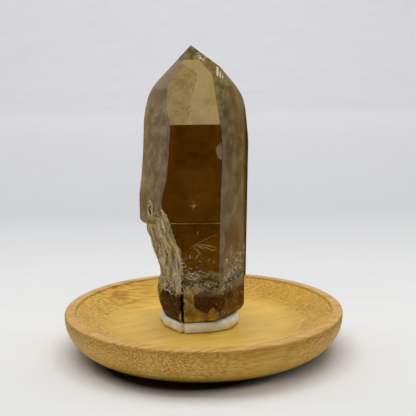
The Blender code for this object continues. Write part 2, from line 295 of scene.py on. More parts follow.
# Golden stain near the bottom of the foot, with a painted warm highlight
GOLDEN_STAIN_AND_PAINTED_HIGHLIGHT = (0.56, 0.36, 0.025)
GLASSY_STAIN = (0.095, 0.036, 0.001)
CRUSHED = (0.88, 0.78, 0.58)
# Painted shade in the crack of the foot
CLEFT_PAINTED_SHADE = (0.004, 0.003, 0.002)
# Painted shade along the crystal's right edge
RIGHT_EDGE_PAINTED_SHADE = (0.040, 0.015, 0.001)
# Colours of the small pieces on and in the crystal
CRUMBS = ((0.58, 0.45, 0.20), (0.82, 0.71, 0.46))
BRUISED = (0.8, 0.8, 0.8)
# Painted shade of the open cracks
CRACK_PAINTED_SHADE = ((0.050, 0.028, 0.008), (0.012, 0.007, 0.003))
WISPS = ((0.85, 0.74, 0.52), (0.70, 0.58, 0.36))
# Colours of the bamboo
# Painted shade of the inner slope
SLOPE_PAINTED_SHADE = (0.58, 0.30, 0.02)
# Painted shade of the outer wall below the rim
OUTER_WALL_PAINTED_SHADE = (0.47, 0.23, 0.027)
LATTICE_PALE = (0.88, 0.64, 0.26)
DOT_BROWN = (0.38, 0.17, 0.009)
RIM_BARS = ((0.82, 0.52, 0.17), (0.58, 0.30, 0.06))
RIM_EDGE = (0.42, 0.19, 0.015)
KNOT_BROWN = (0.40, 0.18, 0.010)
# Painted shade at the bottom of the dish's wall
UNDERSIDE_PAINTED_SHADE = (0.030, 0.014, 0.003)
# Greys of the backdrop, with painted shade that greys the floor towards the back, and the painted
# shadow under the dish
FLOOR_GREYS_PAINTED_FALLOFF = ((0.87, 0.87, 0.86), (0.66, 0.665, 0.68))
WALL_GREY = (0.90, 0.90, 0.92)
MOTTLE_GREY = (0.55, 0.55, 0.53)
# Painted shadow on the paper under the dish
PAINTED_SHADOW_UNDER_DISH = (0.07, 0.04, 0.02)


# Settings

class QuartzPointSettings(bpy.types.PropertyGroup):
    """Sizes and colours of the crystal"""

    refraction: FloatProperty(
        name="Refractive Index", description="How strongly the crystal bends light",
        default=1.545, min=1.0, max=2.5)
    smoke_colour: FloatVectorProperty(
        name="Smoke Colour", description="Colour that the crystal lets through",
        subtype="COLOR", size=3, min=0.0, max=1.0, default=(0.67, 0.515, 0.05))
    smoke_density: FloatProperty(
        name="Smoke Density", description="How quickly the crystal darkens with thickness",
        default=188.0, min=0.0)
    break_step: FloatProperty(
        name="Break Step", description="Turn between the columns of the broken surface",
        subtype="ANGLE", default=math.radians(1.5), min=math.radians(0.5))
    break_rows: IntProperty(
        name="Break Rows", description="Rows of points up the broken surface",
        default=132, min=20)
    crumb_density: FloatProperty(
        name="Crumb Density", description="Splinters for each square metre of broken surface",
        default=2.0e6, min=0.0)


class PuttySettings(bpy.types.PropertyGroup):
    """Sizes and colours of the putty"""

    colour: FloatVectorProperty(
        name="Putty Colour", description="Colour of the putty",
        subtype="COLOR", size=3, min=0.0, max=1.0, default=(0.90, 0.87, 0.68))


class DishSettings(bpy.types.PropertyGroup):
    """Sizes and colours of the dish"""

    radius: FloatProperty(
        name="Radius", description="Outer radius of the rim",
        subtype="DISTANCE", unit="LENGTH", default=DISH_HIGH.x)
    steps: IntProperty(
        name="Steps", description="Sections round the dish", default=256, min=32)
    fibre_angle: FloatProperty(
        name="Fibre Angle", description="Direction of the bamboo fibres from the X axis",
        subtype="ANGLE", default=math.radians(26.0))
    light_colour: FloatVectorProperty(
        name="Pith Colour", description="Colour between the fibre bundles",
        subtype="COLOR", size=3, min=0.0, max=1.0, default=(0.98, 0.65, 0.135))
    dark_colour: FloatVectorProperty(
        name="Bundle Colour", description="Colour of the fibre bundles",
        subtype="COLOR", size=3, min=0.0, max=1.0, default=(0.60, 0.30, 0.030))


class StudioSettings(bpy.types.PropertyGroup):
    """Lights and backdrop"""

    key_power: FloatProperty(
        name="Softbox Power", description="Power of the overhead softbox",
        subtype="POWER", unit="POWER", default=7.1)
    fill_power: FloatProperty(
        name="Front Softbox Power", description="Power of the smaller softbox in front",
        subtype="POWER", unit="POWER", default=2.2)
    wall_power: FloatProperty(
        name="Wall Softbox Power", description="Power of the softbox that lights the backdrop",
        subtype="POWER", unit="POWER", default=3.35)
    sky_level: FloatProperty(
        name="Room Light", description="Brightness of the room", default=0.04, min=0.0)


MARKS = ("side", "end", "left_end", "broken", "cleft")


# Small helpers

def ramp(points, value):
    """Straight-line interpolation through (position, amount) pairs."""
    if value <= points[0][0]:
        return points[0][1]
    for (low, first), (high, second) in zip(points, points[1:]):
        if value <= high:
            return first + (second - first) * (value - low) / (high - low)
    return points[-1][1]


def smooth_step(value):
    value = min(1.0, max(0.0, value))
    return value * value * (3.0 - 2.0 * value)


def bumps(x, y, z):
    """Smooth noise, about -1 to 1."""
    return noise.noise(Vector((x, y, z)))


def direction(azimuth):
    angle = math.radians(azimuth)
    return Vector((math.sin(angle), -math.cos(angle), 0.0))


def away(azimuth, other):
    """Smallest turn between two azimuths, in degrees."""
    return abs((azimuth - other + 180.0) % 360.0 - 180.0)


def place(point):
    """From the crystal's leaning axis and the rim height to world metres."""
    x, y, height = point
    return Vector((x + AXIS_X + LEAN * height, y, height + RIM_HEIGHT)) * MM


def copy_of(source, name):
    """Object of this name with a mesh of its own."""
    made = bpy.data.objects.new(name, source.data.copy())
    bpy.context.scene.collection.objects.link(made)
    return made


def make_object(name, builder, material=None):
    mesh = bpy.data.meshes.new(name)
    bmesh.ops.recalc_face_normals(builder, faces=builder.faces[:])
    builder.to_mesh(mesh)
    builder.free()
    made = bpy.data.objects.new(name, mesh)
    bpy.context.scene.collection.objects.link(made)
    if material:
        mesh.materials.append(material)
    return made


def settle(obj):
    """Turns the live modifiers into a plain mesh and removes them."""
    depsgraph = bpy.context.evaluated_depsgraph_get()
    mesh = bpy.data.meshes.new_from_object(obj.evaluated_get(depsgraph), depsgraph=depsgraph)
    obj.modifiers.clear()
    obj.data = mesh
    return obj


def run_tree(obj, tree, values):
    """Runs a geometry tree on an object, with inputs by name, and keeps the plain mesh."""
    modifier = obj.modifiers.new(tree.name, "NODES")
    modifier.node_group = tree
    for item in tree.interface.items_tree:
        if item.item_type == "SOCKET" and item.in_out == "INPUT" and item.name in values:
            modifier[item.identifier] = values[item.name]
    return settle(obj)


def finish_piece(piece, slot, *nodes):
    """Rides the piece on the body and lets it stand for its solids."""
    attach(piece, BODY)
    if nodes:
        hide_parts(*nodes)


def loft(rings):
    """Closed skin over rings of equal length, capped at both ends."""
    builder = bmesh.new()
    rows = [[builder.verts.new(place(point)) for point in ring] for ring in rings]
    count = len(rows[0])
    for lower, upper in zip(rows, rows[1:]):
        for index in range(count):
            following = (index + 1) % count
            builder.faces.new((lower[index], lower[following], upper[following], upper[index]))
    builder.faces.new(rows[0])
    builder.faces.new(rows[-1])
    return builder


# Node wiring

class Wiring:
    """Adds nodes to a tree and joins them."""

    def __init__(self, tree):
        self.tree = tree

    def join(self, source, target):
        """Links a socket, or sets a plain value, on an input socket."""
        if isinstance(source, bpy.types.NodeSocket):
            self.tree.links.new(source, target)
        elif target.type == "RGBA":
            target.default_value = (*source, 1.0)
        else:
            target.default_value = source

    def fill(self, node, **inputs):
        """Joins values to inputs by name, with _ for a space."""
        for key, value in inputs.items():
            self.join(value, node.inputs[key.replace("_", " ")])
        return node

    def add(self, kind, settings=None, **inputs):
        node = self.tree.nodes.new(kind)
        for key, value in (settings or {}).items():
            setattr(node, key, value)
        return self.fill(node, **inputs)

    def put(self, kind, settings=None, *values, **inputs):
        """Adds a node, joins values to its inputs in order and returns its result."""
        node = self.add(kind, settings, **inputs)
        for value, socket in zip(values, [socket for socket in node.inputs if socket.enabled]):
            self.join(value, socket)
        return next(socket for socket in node.outputs if socket.enabled)

    def math(self, operation, *values, clamp=False):
        return self.put("ShaderNodeMath", {"operation": operation, "use_clamp": clamp}, *values)

    def fold(self, operation, first, *others, clamp=False):
        """Math nodes in a row, from the first value on."""
        for other in others:
            first = self.math(operation, first, other, clamp=clamp)
        return first

    times = partialmethod(fold, "MULTIPLY")
    plus = partialmethod(fold, "ADD")
    minus = partialmethod(fold, "SUBTRACT")
    most = partialmethod(fold, "MAXIMUM")
    absolute = partialmethod(math, "ABSOLUTE")

    def vector(self, operation, *values):
        return self.put("ShaderNodeVectorMath", {"operation": operation}, *values)

    def blend(self, share, first, second):
        return self.put("ShaderNodeMix", {"data_type": "FLOAT"}, share, first, second)

    def tint(self, share, first, second):
        return self.put("ShaderNodeMix", {"data_type": "RGBA"}, share, first, second)

    @cached_property
    def where(self):
        """Coordinates of the object itself."""
        return self.add("ShaderNodeTexCoord").outputs["Object"]

    def axes(self, vector):
        return self.add("ShaderNodeSeparateXYZ", Vector=vector).outputs

    def mark(self, name):
        """Number that the mesh holds under this name."""
        return self.add("ShaderNodeAttribute", {"attribute_name": name}).outputs["Fac"]

    def cloud(self, **inputs):
        return self.add("ShaderNodeTexNoise", **inputs).outputs["Fac"]

    def span(self, value, low, high, start=0.0, end=1.0):
        """Runs from start to end while the value runs from low to high, and stays there."""
        return self.put("ShaderNodeMapRange", Value=value, From_Min=low, From_Max=high,
                        To_Min=start, To_Max=end)

    def fall(self, value, low, high):
        """Mask that falls from one to nothing."""
        return self.span(value, low, high, 1.0, 0.0)

    def level(self, mask, start, end):
        """Turns a mask into a range of its own."""
        return self.span(mask, 0.0, 1.0, start, end)

    def turned(self, rotation, scale, where=None):
        """Turns a pattern first and stretches it along its own axes after."""
        turn = self.put("ShaderNodeMapping", Vector=where or self.where, Rotation=rotation)
        return self.put("ShaderNodeMapping", Vector=turn, Scale=scale)

    def distance(self, across, above, spot):
        """Distance to a spot on a face, given as (x, height)."""
        flat = self.put("ShaderNodeCombineXYZ", X=across, Z=above)
        return self.vector("DISTANCE", flat, (spot[0] * MM, 0.0, spot[1] * MM))

    def bend_gap(self, across, above, bends):
        """How far a spot lies to the right of an outline of slanted straight lines."""
        gap = -1.0
        for x, rise, slope in bends:
            lean = self.times(self.minus(above, rise * MM), slope)
            beside = self.minus(across, x * MM, lean)
            gap = self.most(gap, self.times(beside, 1.0 / math.sqrt(1.0 + slope * slope)))
        return gap

    def group(self, name, builder, **inputs):
        """Mask of a shared shader group, built the first time it is asked for."""
        tree = bpy.data.node_groups.get(name) or builder(name)
        return self.add("ShaderNodeGroup", {"node_tree": tree}, **inputs).outputs["Mask"]

    def blotches(self, size, low=0.4, high=0.6, detail=3.0, where=None):
        return self.group("Blotches", blotches_group, Vector=where or self.where, Size=size,
                          Low=low, High=high, Detail=detail)

    def hair_lines(self, size, lines=6.0, width=0.08, where=None):
        return self.group("Hair Lines", hair_lines_group, Vector=where or self.where,
                          Size=size, Lines=lines, Width=width)

    def glassy_patches(self):
        return self.group("Glassy Patches", glassy_patches_group, Vector=self.where)

    def close(self, geometry, given, made):
        """Ends a geometry tree: real geometry with its material set."""
        real = self.put("GeometryNodeRealizeInstances", Geometry=geometry)
        finish = self.put("GeometryNodeSetMaterial", Geometry=real, Material=given["Material"])
        self.join(finish, made["Mesh"])
        return self.tree

    def stored(self, name):
        """Number that the geometry holds under this name."""
        return self.put("GeometryNodeInputNamedAttribute", {"data_type": "FLOAT"}, Name=name)

    def random(self, low, high, **seed):
        """Random vector, each number between those of low and high."""
        return self.put("FunctionNodeRandomValue", {"data_type": "FLOAT_VECTOR"}, low, high,
                        **seed)

    def scatter(self, given, **choice):
        """Random points of the surface, with the turn that sets them upright on it."""
        node = self.add("GeometryNodeDistributePointsOnFaces", Mesh=given["Surface"],
                        Seed=given["Seed"], **choice)
        return node.outputs["Points"], node.outputs["Rotation"]


def new_tree(kind, name, result, inputs):
    """Tree with named sockets: a number is a default, a word is the kind of a bare socket.

    Returns its wiring, its input sockets and its output sockets.
    """
    tree = bpy.data.node_groups.new(name, kind)
    for label, value in inputs.items():
        bare = isinstance(value, str)
        word = value if bare else type(value).__name__.title()
        socket = tree.interface.new_socket(name=label.replace("_", " "), in_out="INPUT",
                                           socket_type="NodeSocket" + word)
        if not bare:
            socket.default_value = value
    tree.interface.new_socket(name=result[0], in_out="OUTPUT", socket_type=result[1])
    wire = Wiring(tree)
    return wire, wire.add("NodeGroupInput").outputs, wire.add("NodeGroupOutput").inputs


def mask_group(name, **inputs):
    return new_tree("ShaderNodeTree", name, ("Mask", "NodeSocketFloat"),
                    {"Vector": "Vector", **inputs})


def mesh_tree(name, **inputs):
    return new_tree("GeometryNodeTree", name, ("Mesh", "NodeSocketGeometry"),
                    {**inputs, "Material": "Material"})


def blotches_group(name):
    """Soft blotches of a given size."""
    wire, given, made = mask_group(name, Size=0.005, Detail=3.0, Low=0.4, High=0.6)
    cloud = wire.cloud(Vector=given["Vector"], Scale=wire.math("DIVIDE", 1.0, given["Size"]),
                       Detail=given["Detail"])
    wire.join(wire.span(cloud, given["Low"], given["High"]), made["Mask"])
    return wire.tree


def hair_lines_group(name):
    """Thin wandering lines, as contours of a cloud."""
    wire, given, made = mask_group(name, Size=0.005, Lines=6.0, Width=0.08)
    cloud = wire.cloud(Vector=given["Vector"], Scale=wire.math("DIVIDE", 1.0, given["Size"]),
                       Detail=3.0, Distortion=0.8)
    fold = wire.math("PINGPONG", wire.times(cloud, given["Lines"]), 0.5)
    wire.join(wire.fall(fold, 0.0, given["Width"]), made["Mask"])
    return wire.tree


def glassy_patches_group(name):
    """Patches of the broken foot that split smooth and stay clear."""
    wire, given, made = mask_group(name)
    wander = wire.add("ShaderNodeTexNoise", Vector=given["Vector"], Scale=420.0, Detail=2.0)
    shift = wire.vector("MULTIPLY_ADD", wander.outputs["Color"], (PATCH_WANDER,) * 3,
                        given["Vector"])
    mask = 0.0
    for azimuth, distance, height, radius in GLASSY_PATCHES:
        spot = place(direction(azimuth) * distance + Vector((0.0, 0.0, height)))
        offset = Vector((1.0, 1.0, 1.0)) * (0.5 * PATCH_WANDER)
        reach = wire.vector("DISTANCE", shift, tuple(spot + offset))
        mask = wire.most(mask, wire.fall(reach, 0.88 * radius * MM, radius * MM))
    behind = wire.times(wire.span(wire.axes(given["Vector"])["Y"], 0.0, 0.004, 0.0, 0.75),
                        wire.blotches(0.0075, 0.52, 0.57, 4.0, given["Vector"]))
    wire.join(wire.most(mask, behind), made["Mask"])
    return wire.tree


def new_material(name, **values):
    """Principled material with the values that need no wiring."""
    material = bpy.data.materials.new(name)
    material.use_nodes = True
    wire = Wiring(material.node_tree)
    return material, wire, wire.fill(material.node_tree.nodes["Principled BSDF"], **values)


def mottled_material(name, size, colours, **values):
    """Material of two colours in soft blotches."""
    material, wire, shader = new_material(name, **values)
    wire.fill(shader, Base_Color=wire.tint(wire.blotches(size), *colours))
    return material


# Crystal shape

def nearest_face(faces, azimuth, height):
    """Radius at an azimuth of the outline that the flat faces enclose."""
    radii = []
    for face, profile in faces.items():
        turn = away(azimuth, face)
        if turn < 80.0:
            radii.append(ramp(profile, height) / math.cos(math.radians(turn)))
    return min(radii) if radii else 1000.0


def prism_corner(azimuth, following, height):
    """Corner between two neighbouring faces of the prism."""
    first, second = direction(azimuth), direction(following)
    near = ramp(PRISM_FACES[azimuth], height)
    far = ramp(PRISM_FACES[following], height)
    scale = first.x * second.y - first.y * second.x
    return Vector(((near * second.y - far * first.y) / scale,
                   (far * first.x - near * second.x) / scale,
                   height))


def build_prism():
    """Six-sided prism with bent shoulders, closed by the six end faces."""
    heights = sorted({height for profile in PRISM_FACES.values() for height, _ in profile})
    faces = sorted(PRISM_FACES)
    pairs = list(zip(faces, faces[1:] + faces[:1]))
    builder = loft([[prism_corner(azimuth, following, height) for azimuth, following in pairs]
                    for height in heights])
    for azimuth, lean, offset in END_FACES:
        tilt = math.radians(lean)
        normal = direction(azimuth) * math.cos(tilt) + Vector((0.0, 0.0, math.sin(tilt)))
        geometry = builder.verts[:] + builder.edges[:] + builder.faces[:]
        cut = bmesh.ops.bisect_plane(builder, geom=geometry, plane_co=place(APEX + normal * offset),
                                     plane_no=normal, clear_outer=True, dist=1e-7)
        rim = [edge for edge in cut["geom_cut"] if isinstance(edge, bmesh.types.BMEdge)]
        bmesh.ops.holes_fill(builder, edges=rim)
    bmesh.ops.remove_doubles(builder, verts=builder.verts[:], dist=1e-6)
    return builder


def lip_height(azimuth):
    """Height at which the broken flank starts, by azimuth, with a ragged edge."""
    even = LIP_LOW + (LIP_HIGH - LIP_LOW) * smooth_step((azimuth - 278.0) / 46.0)
    return even + LIP_RAGGEDNESS * bumps(0.28 * azimuth, 4.4, 7.2)


def cleft_azimuth(height):
    """Azimuth of the crack in the foot, which wanders on its way up."""
    return FOOT_CLEFT[0] + CLEFT_WANDER * bumps(0.0, 0.55 * height, 2.6)


def flank_radius(azimuth, height, clear):
    """Broken flank below its ragged lip, with its ridges and slivers."""
    facets = nearest_face(FLANK_FACETS, azimuth, height)
    if facets >= clear:
        return clear
    around = math.radians(azimuth + RIDGE_SLANT * height)
    ridge = bumps(14.0 * around, 0.045 * height, 3.7)
    ridge += 0.5 * bumps(5.0 * around, 0.22 * height, 8.1)
    facets += RIDGE_DEPTH * ridge * smooth_step((height - 4.0) / 5.0)
    sliver = bumps(38.0 * around, 0.12 * height, 1.9)
    crumb = bumps(22.0 * around, 0.9 * height, 6.3)
    facets -= (FINE_RIDGE_DEPTH * (abs(sliver) + 0.8 * abs(crumb))
               * (0.15 + 0.85 * smooth_step((height - 8.0) / 4.0)))
    started = smooth_step((lip_height(azimuth) - height) / LIP_SLOPE)
    return clear + (min(facets, clear) - clear) * started


def pitted_radius(side, height, prism):
    """Rough, pitted skin of the foot."""
    pit = bumps(4.2 * side.x, 4.2 * side.y, 0.28 * height + 5.0)
    grain = bumps(15.0 * side.x, 15.0 * side.y, 0.9 * height)
    rough = smooth_step((FOOT_ROUGH_TOP - height) / 4.0)
    return prism + 0.25 - (PIT_DEPTH * abs(pit) + FINE_PIT_DEPTH * abs(grain)) * rough


def rounded_radius(azimuth, side, height, prism):
    """Underside of the foot, drawn in towards its bottom."""
    fall = (FOOT_TURN - height) / (FOOT_TURN - FOOT_BOTTOM)
    lump = bumps(2.1 * side.x, 2.1 * side.y, 0.3 * height)
    grain = bumps(12.0 * side.x, 12.0 * side.y, 0.8 * height + 2.0)
    draw_in = ramp(FOOT_DRAW_IN, azimuth) * fall ** FOOT_ROUNDING
    return prism - draw_in + LUMP_DEPTH * lump * fall - FINE_PIT_DEPTH * abs(grain)


def break_radius(azimuth, height):
    """Radius of the broken surface: the flank, the foot and its cleft."""
    prism = nearest_face(PRISM_FACES, azimuth, height)
    side = direction(azimuth)
    jag = bumps(7.0 * side.x, 7.0 * side.y, 0.35 * height + 9.0)
    edge = ramp(FOOT_EDGE, azimuth) + 1.8 * jag
    stepped = prism + 0.3 - (LEDGE_DEPTH + 0.3) * smooth_step((edge - height) / 0.7)
    radii = [flank_radius(azimuth, height, prism + 0.6), stepped]
    if height < FOOT_ROUGH_TOP:
        radii.append(pitted_radius(side, height, prism))
    if height < FOOT_TURN:
        radii.append(rounded_radius(azimuth, side, height, prism))
    _, half_width, depth, top = FOOT_CLEFT
    turn = away(azimuth, cleft_azimuth(height))
    if turn <= half_width and height < top:
        share = (1.0 - turn / half_width) * smooth_step((top - height) / 2.5)
        radii.append(prism + 0.6 * (1.0 - share) - depth * share)
    return min(radii)


def ring_of(radius_at, height, step):
    """Level ring round the axis, whose radius depends on the azimuth."""
    ring = []
    for index in range(round(360.0 / step)):
        point = direction(index * step) * radius_at(index * step)
        ring.append((point.x, point.y, height))
    return ring


def break_ring(height, step, growth=0.0):
    return ring_of(lambda azimuth: break_radius(azimuth, height) + growth, height, step)


def build_break_body(step, rows):
    """Solid that keeps the crystal inside its broken flank and foot."""
    span = BREAK_TOP - FOOT_BOTTOM
    rings = [break_ring(FOOT_BOTTOM + span * row / rows, step) for row in range(rows + 1)]
    above = [(2.0 * x, 2.0 * y, BREAK_TOP + 1.0) for x, y, _ in rings[-1]]
    ceiling = [(x, y, PRISM_TOP + 3.0) for x, y, _ in above]
    return loft(rings + [above, ceiling])


def build_scoop(azimuth, distance, height, half_sizes, turn=0.0, fineness=4):
    """Ellipsoid, or a cut gem for a low fineness, that points away from the axis."""
    builder = bmesh.new()
    made = bmesh.ops.create_icosphere(builder, subdivisions=fineness, radius=1.0)
    out = direction(azimuth)
    across = Vector((-out.y, out.x, 0.0))
    spin = Quaternion((1.0, 0.3, 0.2), math.radians(turn))
    for vert in made["verts"]:
        local = spin @ vert.co
        spot = out * (distance + local.x * half_sizes[0]) + across * (local.y * half_sizes[1])
        spot.z = height + local.z * half_sizes[2]
        vert.co = place(spot)
    return builder


def mark_faces(obj, marks):
    """Stores one number for each face and mark; marks maps a name to a rule."""
    for name in MARKS:
        attribute = obj.data.attributes.new(name, "FLOAT", "FACE")
        rule = marks.get(name, nothing)
        attribute.data.foreach_set("value", [rule(face) for face in obj.data.polygons])


def nothing(face):
    return 0.0


def everything(face):
    return 1.0


def is_side(face):
    """The four side faces of the prism, which are frosted, and the duller back."""
    if abs(face.normal.z) > 0.4:
        return 0.0
    if face.normal.y > 0.9:
        return 0.6
    return float(abs(face.normal.x) > 0.55)


def is_end(face):
    """The end faces, with the front one hazier than the others."""
    if face.normal.z < 0.4:
        return 0.0
    return 1.0 if face.normal.y < -0.6 else 0.5


def is_left_end(face):
    """End faces that slope down to the left."""
    return float(face.normal.z > 0.3 and face.normal.x < -0.35)


def is_cleft(face):
    """The walls of the crack in the foot, which take painted shade."""
    place_in_rim = face.center / MM - Vector((AXIS_X, 0.0, RIM_HEIGHT))
    azimuth = math.degrees(math.atan2(place_in_rim.x, -place_in_rim.y)) % 360.0
    _, half_width, _, top = FOOT_CLEFT
    centre = cleft_azimuth(place_in_rim.z)
    return float(away(azimuth, centre) < 0.8 * half_width and place_in_rim.z < top)


def crystal_material(settings):
    material, wire, shader = new_material("Smoky Quartz", Base_Color=(1.0, 1.0, 1.0),
                                          Transmission_Weight=1.0, IOR=settings.refraction)
    cloud = wire.blotches(0.007, 0.35, 0.65, 4.0)
    sides = wire.blend(wire.mark("side"), wire.level(cloud, 0.0, 0.03),
                       wire.level(cloud, 0.10, 0.18))
    split = wire.level(wire.glassy_patches(), 0.38, 0.06)
    wire.fill(shader, Roughness=wire.blend(wire.mark("broken"), sides, split))
    smoke = wire.put("ShaderNodeVolumeAbsorption", Color=settings.smoke_colour,
                     Density=settings.smoke_density)
    wire.fill(material.node_tree.nodes["Material Output"], Volume=smoke)
    return material


def cut_with(target, cutter, operation, marks):
    """Cuts the target with a shape whose faces are marked first."""
    mark_faces(cutter, marks)
    modifier = target.modifiers.new(cutter.name, "BOOLEAN")
    modifier.operation = operation
    modifier.solver = "EXACT"
    modifier.object = cutter
    settle(target)
    bpy.data.objects.remove(cutter)


def build_crystal(settings):
    """Prism with its end faces, cut by the break, the scooped chips and the flat ones."""
    crystal = make_object("quartz", build_prism(), crystal_material(settings))
    mark_faces(crystal, {"side": is_side, "end": is_end, "left_end": is_left_end})
    breaker = build_break_body(math.degrees(settings.break_step), settings.break_rows)
    cut_with(crystal, make_object("breaker", breaker), "INTERSECT",
             {"broken": everything, "cleft": is_cleft})
    for chip in CHIPS:
        cut_with(crystal, make_object("chip", build_scoop(*chip)), "DIFFERENCE",
                 {"broken": everything})
    for chip in FLAT_CHIPS:
        cut_with(crystal, make_object("chip", build_scoop(*chip, fineness=1)), "DIFFERENCE",
                 {"side": everything})
    return crystal


def inflated(source, lift):
    """Copy of a closed mesh, with its skin moved outwards."""
    builder = bmesh.new()
    builder.from_mesh(source.data)
    bmesh.ops.remove_doubles(builder, verts=builder.verts[:], dist=1e-6)
    builder.normal_update()
    moved = [vert.co + vert.normal * (lift * MM) for vert in builder.verts]
    for vert, co in zip(builder.verts, moved):
        vert.co = co
    return builder


class Film(Wiring):
    """Masks and colours of the thin film on the crystal's faces."""

    def __init__(self, tree):
        super().__init__(tree)
        self.marks = {name: self.mark(name) for name in MARKS}
        self.x, self.y, self.height = self.axes(self.where)
        self.above_rim = self.minus(self.height, RIM_HEIGHT * MM)
        self.across = self.minus(self.x, (AXIS_X + 80.0 * LEAN) * MM)
        self.inside = self.tan_part()
        self.olive = self.times(self.marks["end"], self.minus(1.0, self.inside))
        self.mottle = self.blotches(0.0042, 0.38, 0.64, 5.0)
        self.curled = self.hair_lines(0.0016, 6.0, 0.13)
        self.split = self.glassy_patches()
        self.foot = self.fall(self.height, *FOOT_FADE)
        slope = self.turned((0.0, FLANK_STREAK_LEAN, 0.0), (1.0, 1.0, 0.18))
        self.ridges = self.blotches(0.0013, 0.38, 0.62, 5.0, slope)
        self.threads = self.hair_lines(0.0026, 6.0, 0.12, slope)
        askew = self.turned((0.0, 0.0, 1.3), (1.3, 1.3, 1.3), slope)
        self.cracks = self.hair_lines(0.0034, 5.0, 0.08, askew)
        self.ledge = self.times(self.span(self.x, -0.0080, -0.0065),
                                self.span(self.height, 0.0225, 0.0265),
                                self.fall(self.y, -0.004, 0.0))
        # White flecks near the apex, with painted highlights beside the tan part, on the olive
        # faces.
        self.fleck = self.times(self.most(self.apex_flecks(), self.glints()), self.olive)
        self.crackle = self.foot_crackle()
        self.strip_low = self.low_strip()
        self.band = self.edge_band()

    def tan_part(self):
        """Tan part of the front end face, up to its slanted right edge."""
        gap = self.bend_gap(self.across, self.above_rim, TAN_BENDS)
        top = TAN_TOP * MM
        return self.times(self.fall(gap, -0.0001, 0.0003),
                          self.fall(self.above_rim, top - 0.0002, top + 0.0002))

    def etched_haze(self):
        """Haze of the front end face, worn and lined where it is etched."""
        wander = self.cloud(Vector=self.where, Scale=700.0, Detail=3.0)
        gap = self.plus(self.bend_gap(self.across, self.above_rim, ETCH_BENDS),
                        self.span(wander, 0.3, 0.7, -0.0004, 0.0004))
        kept = self.span(self.above_rim, ETCH_FADE[0] * MM, ETCH_FADE[1] * MM)
        etched = self.times(self.fall(gap, -0.0003, 0.0001), self.level(kept, 0.55, 1.0))
        edge = self.span(self.absolute(gap), 0.00010, 0.00030, 0.27, 0.0)
        inner_edge = self.span(self.absolute(self.plus(gap, 0.0011)), 0.00006, 0.0002, 0.18, 0.0)
        rings = self.distance(self.across, self.above_rim, RINGS)
        curls = self.times(self.hair_lines(0.0019, 5.0, 0.22),
                           self.span(rings, 0.0012, 0.0026, 0.26, 0.0))
        drift = self.times(self.hair_lines(0.010, 6.0, 0.10), 0.12)
        lines = self.most(self.times(self.most(edge, inner_edge), kept), curls, drift)
        haze = self.level(self.blotches(0.006, 0.3, 0.7, 5.0), 0.60, 0.82)
        upright = self.turned(UNTURNED, (1.0, 1.0, 0.3))
        worn = self.level(self.blotches(0.0014, 0.35, 0.65, 4.0, upright), 0.12, 0.34)
        haze = self.times(self.minus(haze, self.times(etched, worn)), self.inside)
        return self.most(self.minus(haze, lines, clamp=True), self.level(self.inside, 0.50, 0.1))

    def glints(self):
        """Painted highlights: bright strips beside the tan part."""
        glint = 0.0
        for x, rise, half_width, half_length in PAINTED_GLINT_STRIPS:
            beside = self.absolute(self.minus(self.across, x * MM))
            beyond = self.absolute(self.minus(self.above_rim, rise * MM))
            strip = self.times(
                self.fall(beside, half_width * MM, half_width * MM + 0.0001),
                self.fall(beyond, half_length * MM, half_length * MM + 0.0005))
            glint = self.most(glint, strip)
        return glint

    def apex_flecks(self):
        """White flecks near the apex."""
        x, rise, reach = FLECKS
        near = self.fall(self.distance(self.across, self.above_rim, (x, rise)),
                         0.4 * reach * MM, reach * MM)
        return self.times(near, self.blotches(0.0008, 0.50, 0.60, 2.0))

    def side_haze(self):
        """Frosting of the side faces, thinner to the right."""
        tall = self.turned(UNTURNED, (1.0, 1.0, 0.07))
        streak = self.blotches(0.0010, 0.35, 0.7, 3.0, tall)
        cloudy = self.blotches(0.009, 0.35, 0.65, 4.0)
        speck = self.blotches(0.0008, 0.55, 0.7, 2.0)
        low_frost = self.times(self.span(self.above_rim, 0.019, 0.026, 0.10, 0.0),
                               self.level(speck, 0.4, 1.6))
        haze = self.plus(self.level(cloudy, 0.06, 0.24), self.times(streak, 0.13),
                         self.times(speck, 0.14), self.times(self.mottle, 0.10), low_frost)
        return self.times(haze, self.span(self.x, 0.0, 0.010, 1.0, 0.72))

    def foot_crackle(self):
        """Net of fine cracks on the foot, which spares the glassy patches."""
        return self.times(self.hair_lines(0.0045, 5.0, 0.10),
                          self.minus(0.85, self.split, clamp=True),
                          self.span(self.x, 0.002, 0.008, 1.0, 0.45))

    def scars(self):
        """Bruised skin of the broken flank and the foot."""
        flank = self.most(self.level(self.ridges, 0.40, 0.9), self.threads)
        frosted = self.level(self.blotches(0.0035, 0.42, 0.58, 3.0), 0.6, 0.95)
        scar = self.blend(self.split, self.blend(self.foot, flank, frosted), 0.6)
        return self.blend(self.ledge, self.most(scar, self.crackle), 0.88)

    def low_strip(self):
        """Strip of the front face just above the foot."""
        ragged_top = self.plus(self.above_rim, self.level(self.mottle, 0.0015, -0.0015))
        other_faces = self.most(self.marks["side"], self.marks["broken"])
        return self.times(self.fall(ragged_top, 0.0140, 0.0175),
                          self.fall(self.y, -0.0155, -0.0145), self.minus(1.0, other_faces))

    def edge_band(self):
        """Painted shade: a dark band along the right edge of the crystal."""
        leaning = self.math("MULTIPLY_ADD", self.above_rim, LEAN, AXIS_X * MM)
        sideways = self.minus(self.x, leaning)
        return self.times(self.span(sideways, 0.0166, 0.0178, 0.0, 0.7), self.marks["side"])

